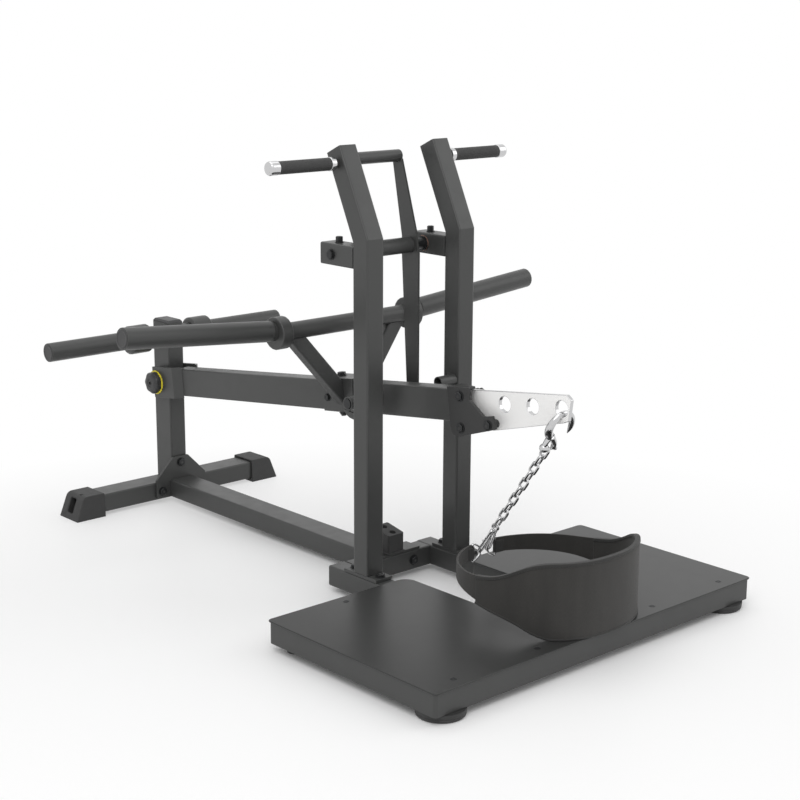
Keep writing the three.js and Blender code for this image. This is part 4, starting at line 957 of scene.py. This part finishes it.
def wire(name, points, radius, shares=None, closed=False, sides=4):
    """A smooth round bar through points. Shares of the radius may be given for each point."""
    piece = added(name, bpy.ops.curve.primitive_nurbs_path_add)
    curve = piece.data
    curve.splines.clear()
    spline = curve.splines.new("NURBS")
    spline.points.add(len(points) - 1)
    for i, (point, place) in enumerate(zip(spline.points, points)):
        point.co = (*place, 1)
        point.radius = shares[i] if shares else 1
    spline.use_cyclic_u = closed
    spline.use_endpoint_u = not closed
    spline.order_u = 4
    spline.resolution_u = 6
    curve.dimensions = "3D"
    curve.bevel_depth = radius
    curve.bevel_resolution = sides
    curve.use_fill_caps = True
    piece.location = (0, 0, 0)
    take(piece)
    bpy.ops.object.convert(target="MESH")
    piece = bpy.context.object
    edit(piece)
    bpy.ops.mesh.select_all(action="SELECT")
    bpy.ops.mesh.remove_doubles(threshold=0.00001)
    leave_facing_out()
    fix_place(piece)
    return piece


def oval_link(name, straight, radius, wire_radius, segments=36, sides=12):
    """A ring in the X-Z plane whose two halves are pulled apart along Z."""
    torus = {"major_radius": radius, "minor_radius": wire_radius, "major_segments": segments}
    torus |= {"minor_segments": sides, "rotation": (HALF_TURN / 2, 0, 0), "location": (0, 0, 0)}
    piece = added(name, bpy.ops.mesh.primitive_torus_add, **torus)
    fix_place(piece)
    for vertex in piece.data.vertices:
        if abs(vertex.co.z) > 1e-6:
            vertex.co.z += math.copysign(straight / 2, vertex.co.z)
    return piece


def hanging(joint, lean, drop=0.0, turn=0.0, across=0.0):
    """The place of something that hangs at a joint, leaning back, this far down and turned about its length."""
    return (
        Matrix.Translation(JOINT_PLACE[joint])
        @ Matrix.Rotation(lean, 4, "X")
        @ Matrix.Translation((across, 0, -drop))
        @ Matrix.Rotation(turn, 4, "Z")
    )


def lean_of(step):
    return math.atan2(step.y, -step.z)


def lean_between(first, second):
    return lean_of(JOINT_PLACE[second] - JOINT_PLACE[first])


class MACHINE_OT_hook(bpy.types.Operator):
    """Model the forged open hook with its eye and clevis pin"""

    bl_idname = "machine.hook"
    bl_label = "Open hook"
    # Stations of each bar in millimetres: its place across, its drop and its radius there.
    tip = ((46, 65, 0.6), (47, 59, 3.4), (48, 50, 6.6), (46, 38, 7.8), (41, 26, 8), (31, 13, 7.8), (17, 4, 7.4))
    back = ((0, 0.4, 7.2), (-12, 6, 7.8), (-21, 17, 9), (-25, 32, 10), (-23, 46, 10.4), (-15, 58, 10), (-5, 68, 7.6))
    near_ear = ((-8, 62, 6), (-13, 72, 5.5), (-15, 86, 5), (-14, 99, 4.6))
    far_ear = ((-8, 60, 9), (2, 70, 8), (12, 80, 7), (19, 90, 6.4), (20, 101, 5.6))
    bar_flatness, ear_flatness = 0.86, 1.2
    ball_radius, ball_place = 0.0105, (-0.0113, 0, -0.094)

    def execute(self, context):
        pieces = [
            self.bar("hook_body", (*self.tip, *self.back), self.bar_flatness),
            self.bar("hook_near_ear", self.near_ear, self.ear_flatness),
            self.bar("hook_far_ear", self.far_ear, self.ear_flatness),
            self.ball(),
            self.pin(),
        ]
        piece = polish(join("forged_hook", pieces), "chrome", smooth_angle=60)
        put(piece, hanging("hook_swing", lean_between("hook_swing", "chain_swing")))
        settle(piece, "hook", "bright_chrome", "open_hook")
        return {"FINISHED"}

    def bar(self, name, stations, flatness):
        """A tapered forged bar through stations."""
        millimetre = 0.001
        points = [(across * millimetre, 0, -drop * millimetre) for across, drop, _ in stations]
        widest = max(radius for _, _, radius in stations)
        piece = wire(name, points, widest * millimetre, [radius / widest for _, _, radius in stations], sides=5)
        apply(piece, "SUBSURF", levels=1, render_levels=1)
        for vertex in piece.data.vertices:
            vertex.co.y *= flatness
        return piece

    def ball(self):
        steps = [i * HALF_TURN / 10 for i in range(1, 10)]
        profile = scaled(self.ball_radius, *((-self.ball_radius * math.cos(step), math.sin(step)) for step in steps))
        return stand(turned("hook_ball", profile, 32), self.ball_place, (-1, 0, 0))

    def pin(self):
        radius, head_radius, head = 0.0031, 0.0056, 0.0245
        profile = [(-0.016, radius), (head, radius), (head, head_radius), (head + 0.004, head_radius)]
        piece = turned("hook_pin", profile, 24)
        round_edges(piece, 0.0006, 3, 20)
        reach = (JOINT_PLACE["chain_swing"] - JOINT_PLACE["hook_swing"]).length
        return stand(piece, (0, 0, -reach), (1, 0, 0))


class MACHINE_OT_chain(bpy.types.Operator):
    """Model the chain's links"""

    bl_idname = "machine.chain"
    bl_label = "Chain"
    count, wire_radius, inner_length, inner_width, play = 10, 0.003, 0.025, 0.01, 0.0008

    def execute(self, context):
        pitch = self.inner_length + self.play
        straight = self.inner_length - self.inner_width
        first = self.inner_width / 2 - self.wire_radius - self.play + straight / 2
        link = oval_link("link_pattern", straight, self.inner_width / 2 + self.wire_radius, self.wire_radius)
        polish(link, "chrome", smooth_angle=60)
        lean = lean_between("chain_swing", "belt_swing")
        places = [
            hanging("chain_swing", lean, first + i * pitch, 0 if i % 2 else HALF_TURN / 2) for i in range(self.count)
        ]
        links = [put(copy_of(link, f"link_{i}"), place) for i, place in enumerate(places)]
        remove(link)
        settle(join("chain_links", links), "chain", "bright_chrome", "chain")
        return {"FINISHED"}


class MACHINE_OT_snap_hooks(bpy.types.Operator):
    """Model the two snap hooks and the D-rings on the belt"""

    bl_idname = "machine.snap_hooks"
    bl_label = "Snap hooks"
    eye_drop, eye_radius, eye_wire, eye_across = 0.0027, 0.008, 0.0017, 0.0022
    body_radius, body_across, body_tilt = 0.0055, 0.0083, math.radians(9)
    middle_width, narrowing = 1.12, 0.16
    collar_drop, collar_across = 0.0098, 0.0055
    gate_across, thumb_rise = 0.0145, 0.004
    ring_overlap = 0.0025

    def execute(self, context):
        shape = belt_shape()
        tab = shape.point(shape.first_angle)
        ring_place = Vector((0, tab.y, shape.height_at(tab.y, 0.5)))
        step = ring_place - JOINT_PLACE["belt_swing"]
        length = math.hypot(step.y, step.z) + self.ring_overlap - self.eye_drop - self.eye_radius
        for name, side in SIDES:
            parts = [*self.snap(side, lean_of(step), length), self.ring(side, ring_place, shape.ring_bar)]
            piece = polish(join(f"snap_{name}", parts), "chrome", smooth_angle=60)
            settle(piece, "belt", "bright_chrome", f"snap_hook_{name}")
        return {"FINISHED"}

    def snap(self, side, lean, length):
        """An eye, a swivel collar, a pear-shaped body and its sprung gate."""

        def hung(piece, drop, turn, across, tilt=0.0):
            return put(piece, hanging("belt_swing", lean, drop, turn, side * across) @ Matrix.Rotation(tilt, 4, "Y"))

        eye = oval_link("snap_eye", 0, self.eye_radius, self.eye_wire, 32, 10)
        hung(eye, self.eye_drop, HALF_TURN / 2, self.eye_across)
        body = oval_link("snap_body", length - 2 * self.body_radius, self.body_radius, RING_WIRE, 40, 12)
        for vertex in body.data.vertices:
            share = vertex.co.z / (length / 2)
            vertex.co.x *= self.middle_width - self.narrowing * share
        middle = self.eye_drop + self.eye_radius + length / 2
        hung(body, middle, 0, self.body_across, -side * self.body_tilt)
        collar = turned("snap_collar", [(0, 0.0042), (0.0015, 0.0052), (0.008, 0.0052), (0.0095, 0.0042)], 24)
        round_edges(collar, 0.0006, 2, 20)
        hung(collar, self.eye_drop + self.eye_radius + self.collar_drop, 0, self.collar_across)
        gate = turned("snap_gate", [(-0.014, 0.0016), (-0.014, 0.0021), (0.012, 0.0021), (0.014, 0.0014)], 20)
        round_edges(gate, 0.0004, 2, 20)
        hung(gate, middle, 0, self.gate_across)
        thumb = turned("snap_thumb", [(0, 0.0015), (0.0045, 0.0017), (0.0052, 0.0026), (0.0066, 0.002)], 16)
        hung(thumb, middle - self.thumb_rise, 0, self.gate_across, side * HALF_TURN / 2)
        return [eye, body, collar, gate, thumb]

    def ring(self, side, place, bar):
        """A D-shaped ring whose straight bar lies in the belt's tab."""
        half, reach, swell = 0.0195, 0.024, 1.08
        corner = bar - 0.12 * reach
        points = [(bar, 0, share * half) for share in (-0.9, -0.4, 0.4, 0.9)]
        points.append((corner, 0, swell * half))
        for i in range(1, 8):
            angle = HALF_TURN / 2 + i * HALF_TURN / 8
            points.append((bar + swell * reach * math.cos(angle), 0, half * math.sin(angle)))
        points.append((corner, 0, -swell * half))
        ring = wire("belt_ring", [(side * x, y, z) for x, y, z in points], RING_WIRE, closed=True)
        return put(ring, Matrix.Translation(place))


# Belt


class BeltShape:
    """The belt's line seen from above, and the height of its two edges along it."""

    # From the ends to the front: the share of the depth, then both edges as shares of the front's height.
    edge_shares = (
        (0, 0.375, 0.622),
        (0.25, 0.346, 0.64),
        (0.38, 0.316, 0.646),
        (0.54, 0.257, 0.7),
        (0.63, 0.227, 0.758),
        (0.7, 0.19, 0.85),
        (0.78, 0.11, 0.95),
        (0.83, 0, 1),
        (1, 0, 1),
    )
    front_roundness = 2.3
    rear_roundness = 2.0
    centre = -0.6425
    half_solid = 0.0055
    ring_gap = 0.0006
    ring_inset = 0.0025
    line_steps = 720
    smoothing_step = 0.012

    def __init__(self, values):
        self.half_x = values.half_width - self.half_solid
        self.half_y = values.half_depth - self.half_solid
        self.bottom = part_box("belt")[0].z
        self.front_height = values.front_height
        self.ring_bar = values.opening / 2 - self.ring_gap - self.ring_inset
        share = values.opening / 2 / self.half_x
        self.first_angle = math.asin(share ** (self.rear_roundness / 2))
        self.rearmost = self.point(self.first_angle).y
        self.depth = self.rearmost - (self.centre - self.half_y)
        span = 2 * (math.pi - self.first_angle)
        self.angles = [self.first_angle + span * i / self.line_steps for i in range(self.line_steps + 1)]
        self.lengths = [0.0]
        for a, b in zip(self.angles, self.angles[1:]):
            self.lengths.append(self.lengths[-1] + (self.point(b) - self.point(a)).length)

    def point(self, angle):
        sine, cosine = math.sin(angle), math.cos(angle)
        power = 2 / (self.rear_roundness if cosine > 0 else self.front_roundness)
        x = self.half_x * math.copysign(abs(sine) ** power, sine)
        y = self.half_y * math.copysign(abs(cosine) ** power, cosine)
        return Vector((x, self.centre + y, 0))

    def angle_at(self, share):
        """The angle at a share of the band's length, measured along the line."""
        wanted = share * self.lengths[-1]
        last = len(self.lengths) - 1
        i = next((k for k in range(1, last) if self.lengths[k] >= wanted), last)
        part = (wanted - self.lengths[i - 1]) / (self.lengths[i] - self.lengths[i - 1])
        return self.angles[i - 1] + part * (self.angles[i] - self.angles[i - 1])

    def edges_at(self, y):
        """Heights of the lower and the upper edge, on a line through the shares."""
        way = min(1.0, max(0.0, (self.rearmost - y) / self.depth))
        shares = self.edge_shares
        i = next((k for k in range(1, len(shares)) if shares[k][0] >= way), len(shares) - 1)
        before, after = shares[i - 1], shares[i]
        part = (way - before[0]) / (after[0] - before[0])
        return [self.bottom + (a + part * (b - a)) * self.front_height for a, b in zip(before[1:], after[1:])]

    def smooth_edges(self, share):
        """The edges' heights at a share of the length, averaged over a short stretch."""
        near = [min(1.0, max(0.0, share + self.smoothing_step * step)) for step in range(-2, 3)]
        angles = [self.angle_at(here) for here in near]
        pairs = [self.edges_at(self.point(angle).y) for angle in angles]
        return [sum(heights) / len(heights) for heights in zip(*pairs)]

    def height_at(self, y, share):
        low, high = self.edges_at(y)
        return low + share * (high - low)


def belt_shape():
    return BeltShape(bpy.context.scene.machine_belt)


class MACHINE_OT_belt(bpy.types.Operator):
    """Model the padded belt with its bound edge, stitching and tabs"""

    bl_idname = "machine.belt"
    bl_label = "Belt"

    def execute(self, context):
        values = context.scene.machine_belt
        shape = belt_shape()
        last = values.stations
        shares = [i / last for i in range(last + 1)]
        self.edges = [shape.smooth_edges(share) for share in shares]
        self.line = [shape.point(shape.angle_at(share)) for share in shares]
        self.length = shape.lengths[-1]
        body = (values.body_start, last - values.body_start)
        wide, inset, overlap, margin = values.binding, values.strap_inset, 3, 0.001
        band = self.strip("belt_band", values, lambda low, high: (low + margin, high - margin), values.rows, *body)
        self.sewn(band, "cloth", values.thickness, 0.0025, 3, "belt")
        tapes = (
            ("top", lambda low, high: (high - wide, high + 0.0002)),
            ("bottom", lambda low, high: (low + 0.0001, low + 0.7 * wide)),
        )
        for name, span in tapes:
            tape = self.strip(f"belt_{name}_binding", values, span, 3, *body)
            self.sewn(tape, "binding", values.bound_thickness, 0.0018, 3)

        def narrowed(low, high):
            return low + inset, high - 0.1 * inset

        reach = values.body_start + overlap
        for name, start, end in (("right", 0, reach), ("left", last - reach, last)):
            strap = self.strip(f"belt_strap_{name}", values, narrowed, 4, start, end)
            self.sewn(strap, "cloth", values.strap_thickness, 0.0009, 2)
        self.tabs(values, shape)
        self.stitches(values)
        return {"FINISHED"}

    def sewn(self, piece, name, thickness, edge, segments, *nodes, smooth_angle=60):
        """A sheet thickened, rounded and finished."""
        apply(piece, "SOLIDIFY", thickness=thickness, offset=0)
        polish(piece, name, edge, segments, 60, smooth_angle)
        return settle(piece, "belt", "belt_cloth", *nodes)

    def sheet(self, name, steps, rows, place_of, map_of):
        """A grid whose points and map are worked out from their step along it and their share up it."""
        piece = added(name, bpy.ops.mesh.primitive_grid_add, x_subdivisions=steps, y_subdivisions=rows, size=1)
        flat = [(round((vertex.co.x + 0.5) * steps), vertex.co.y + 0.5) for vertex in piece.data.vertices]
        for loop in piece.data.loops:
            piece.data.uv_layers[0].data[loop.index].uv = map_of(*flat[loop.vertex_index])
        for vertex in piece.data.vertices:
            vertex.co = place_of(*flat[vertex.index])
        return piece

    def strip(self, name, values, span, rows, start, end):
        """A sheet along a stretch of the belt's line between two heights, with its map in metres."""

        def height(step, share):
            low, high = span(*self.edges[start + step])
            return low + share * (high - low)

        def place_of(step, share):
            here = self.line[start + step]
            return here.x, here.y, height(step, share)

        def map_of(step, share):
            return (start + step) / values.stations * self.length, height(step, share)

        return self.sheet(name, end - start, rows, place_of, map_of)

    def tabs(self, values, shape):
        """Loops of webbing at the two ends, folded round the bars of the D-rings."""
        back = shape.point(shape.first_angle).y
        middle = shape.height_at(back, 0.5)
        height, bar = values.tab_height, shape.ring_bar
        fold, flat_length, arc_steps = 0.0044, 0.07, 12
        near, far = (0.008, 0.006), (0.03, 0.0064)
        arc = [HALF_TURN / 2 + i * HALF_TURN / arc_steps for i in range(arc_steps + 1)]
        points = [(bar + out, thick) for out, thick in (far, near)]
        points += [(bar + fold * math.cos(angle), fold * math.sin(angle)) for angle in arc]
        points += [(bar + out, -thick) for out, thick in (near, far)]
        last = len(points) - 1
        for name, side in SIDES:

            def place_of(step, share):
                x, y = points[step]
                return side * x, back + y, middle + (share - 0.5) * height

            def map_of(step, share):
                return step / last * flat_length, share * height

            tab = self.sheet(f"belt_tab_{name}", last, 4, place_of, map_of)
            edit(tab)
            leave_facing_out()
            self.sewn(tab, "binding", 0.0018, 0.0005, 2, smooth_angle=50)

    def stitches(self, values):
        """A row of short stitches along the top binding's lower edge, inside and outside."""
        thread, below_tape, margin = 0.0009, 0.0022, 0.004
        pattern = cube("stitch_pattern", (values.stitch, thread, thread))
        polish(pattern, "binding", 0.0003, 1, 30, 60)
        step = values.stitch + values.stitch_gap
        first = values.body_start / values.stations * self.length + margin
        copies = []
        for i in range(int((self.length - 2 * first) / step)):
            place = (first + i * step) / self.length * values.stations
            station = min(int(place), values.stations - 1)
            part = place - station
            here, there = self.line[station], self.line[station + 1]
            top, next_top = self.edges[station][1], self.edges[station + 1][1]
            way = (there - here).normalized()
            outward = Vector((way.y, -way.x, 0))
            climb = Vector((0, 0, (next_top - top) / (there - here).length))
            turn = Matrix((way + climb, outward, (0, 0, 1))).transposed().to_4x4()
            for face in (-1, 1):
                stitch = copy_of(pattern, f"stitch_{len(copies)}")
                spot = here.lerp(there, part) + face * values.bound_thickness / 2 * outward
                spot.z = top * (1 - part) + next_top * part - values.binding + below_tape
                stitch.matrix_world = Matrix.Translation(spot) @ turn
                copies.append(stitch)
        remove(pattern)
        piece = join("belt_stitches", copies)
        fix_place(piece)
        settle(piece, "belt", "belt_cloth")


# Studio


class MACHINE_OT_studio(bpy.types.Operator):
    """Set up the pale floor, the soft lights and the camera"""

    bl_idname = "machine.studio"
    bl_label = "Studio"
    # Each light's place, size and power in watts.
    lamps = {
        "key_light": ((-2.6, -2.2, 3.6), 3.0, 62),
        "side_light": ((3.2, -2.4, 2.6), 2.6, 22),
        "top_light": ((0.2, 0.4, 4.2), 3.4, 30),
    }
    aim = Vector((0, 0, 0.4))
    floor_radius = 60
    white_from, white_at = 0.95, 1.9
    world_light, background_light = 0.62, 1.0

    def execute(self, context):
        values = context.scene.machine_studio
        self.camera(context.scene, values)
        self.floor(values)
        self.world(context.scene)
        for name, (place, size, power) in self.lamps.items():
            data = bpy.data.lights.new(name, "AREA")
            data.size = size
            data.energy = power
            lamp = bpy.data.objects.new(name, data)
            bpy.context.collection.objects.link(lamp)
            lamp.location = place
            lamp.rotation_euler = (self.aim - Vector(place)).to_track_quat("-Z", "Y").to_euler()
        return {"FINISHED"}

    def camera(self, scene, values):
        data = bpy.data.cameras.new("camera")
        data.lens = values.lens
        data.sensor_width = 36
        data.shift_x = 0.001
        data.shift_y = -0.0025
        camera = bpy.data.objects.new("camera", data)
        bpy.context.collection.objects.link(camera)
        camera.matrix_world = (
            Matrix.Translation(values.place)
            @ Matrix.Rotation(-values.yaw, 4, "Z")
            @ Matrix.Rotation(math.pi / 2 - values.pitch, 4, "X")
            @ Matrix.Rotation(values.roll, 4, "Z")
        )
        scene.camera = camera
        scene.view_settings.view_transform = "Standard"

    def floor(self, values):
        """A pale floor that looks a little paler than its light, and white far away."""
        disc = {"vertices": 96, "radius": self.floor_radius, "fill_type": "NGON", "location": (0, 0, 0)}
        floor = added("studio_floor", bpy.ops.mesh.primitive_circle_add, **disc)
        material, tree, shader, place = new_material("studio_floor")
        feed(tree, shader, {"Base Color": (*values.floor, 1), "Roughness": 0.5, "Specular IOR Level": 0.15})
        seen = self.seen(tree)
        glow = add_node(tree, "Emission", {"Strength": spread(tree, seen, 0, values.floor_glow, 0, 1)})
        near = add_node(tree, "AddShader", {0: shader.outputs["BSDF"], 1: glow.outputs["Emission"]})
        reach = add_node(tree, "VectorMath", {0: place, 1: values.floor_middle}, operation="DISTANCE")
        away = spread(tree, reach.outputs["Value"], 0, 1, self.white_from, self.white_at)
        far = add_node(tree, "Emission").outputs["Emission"]
        inputs = {"Fac": calculated(tree, "MULTIPLY", away, seen), 1: near.outputs["Shader"], 2: far}
        mixed = add_node(tree, "MixShader", inputs)
        feed(tree, tree.nodes["Material Output"], {"Surface": mixed.outputs["Shader"]})
        paint(floor, material)

    def world(self, scene):
        """Even light for the object, and plain white where the camera or a reflection sees the background."""
        scene.world = bpy.data.worlds.new("studio")
        scene.world.use_nodes = True
        tree = scene.world.node_tree
        strength = spread(tree, self.seen(tree), self.world_light, self.background_light, 0, 1)
        feed(tree, tree.nodes["Background"], {"Color": (1, 1, 1, 1), "Strength": strength})

    def seen(self, tree):
        """One where the camera or a reflection sees a surface, and zero where it only lights the object."""
        rays = add_node(tree, "LightPath").outputs
        reflected = calculated(tree, "MAXIMUM", rays["Is Camera Ray"], rays["Is Glossy Ray"])
        return calculated(tree, "MAXIMUM", reflected, rays["Is Transmission Ray"])


OPERATORS = (
    MACHINE_OT_studio,
    MACHINE_OT_platform,
    MACHINE_OT_feet,
    MACHINE_OT_base,
    MACHINE_OT_end_caps,
    MACHINE_OT_arm_stop,
    MACHINE_OT_rear_post,
    MACHINE_OT_uprights,
    MACHINE_OT_grips,
    MACHINE_OT_lever,
    MACHINE_OT_arm,
    MACHINE_OT_knobs,
    MACHINE_OT_weights,
    MACHINE_OT_hook_plate,
    MACHINE_OT_bolts,
    MACHINE_OT_hook,
    MACHINE_OT_chain,
    MACHINE_OT_snap_hooks,
    MACHINE_OT_belt,
)
GROUPS = {
    "machine_finish": MachineFinish,
    "machine_detail": MachineDetail,
    "machine_belt": MachineBelt,
    "machine_studio": MachineStudio,
}


class MACHINE_PT_panel(bpy.types.Panel):
    """Lists the machine's sizes, colours and steps"""

    bl_idname = "MACHINE_PT_panel"
    bl_label = "Belt Squat Machine"
    bl_space_type = "VIEW_3D"
    bl_region_type = "UI"
    bl_category = "Machine"

    def draw(self, context):
        for name, kind in GROUPS.items():
            box = self.layout.box()
            box.label(text=kind.__doc__)
            for key in kind.__annotations__:
                box.prop(getattr(context.scene, name), key)
        for operator in OPERATORS:
            self.layout.operator(operator.bl_idname)


CLASSES = (*GROUPS.values(), *OPERATORS, MACHINE_PT_panel)


def register():
    for kind in CLASSES:
        bpy.utils.register_class(kind)
    for name, kind in GROUPS.items():
        setattr(bpy.types.Scene, name, PointerProperty(type=kind))


def unregister():
    for name in GROUPS:
        delattr(bpy.types.Scene, name)
    for kind in reversed(CLASSES):
        bpy.utils.unregister_class(kind)


def main():
    register()
    for operator in OPERATORS:
        group, name = operator.bl_idname.split(".")
        getattr(getattr(bpy.ops, group), name)()


if __name__ == "__main__":
    main()
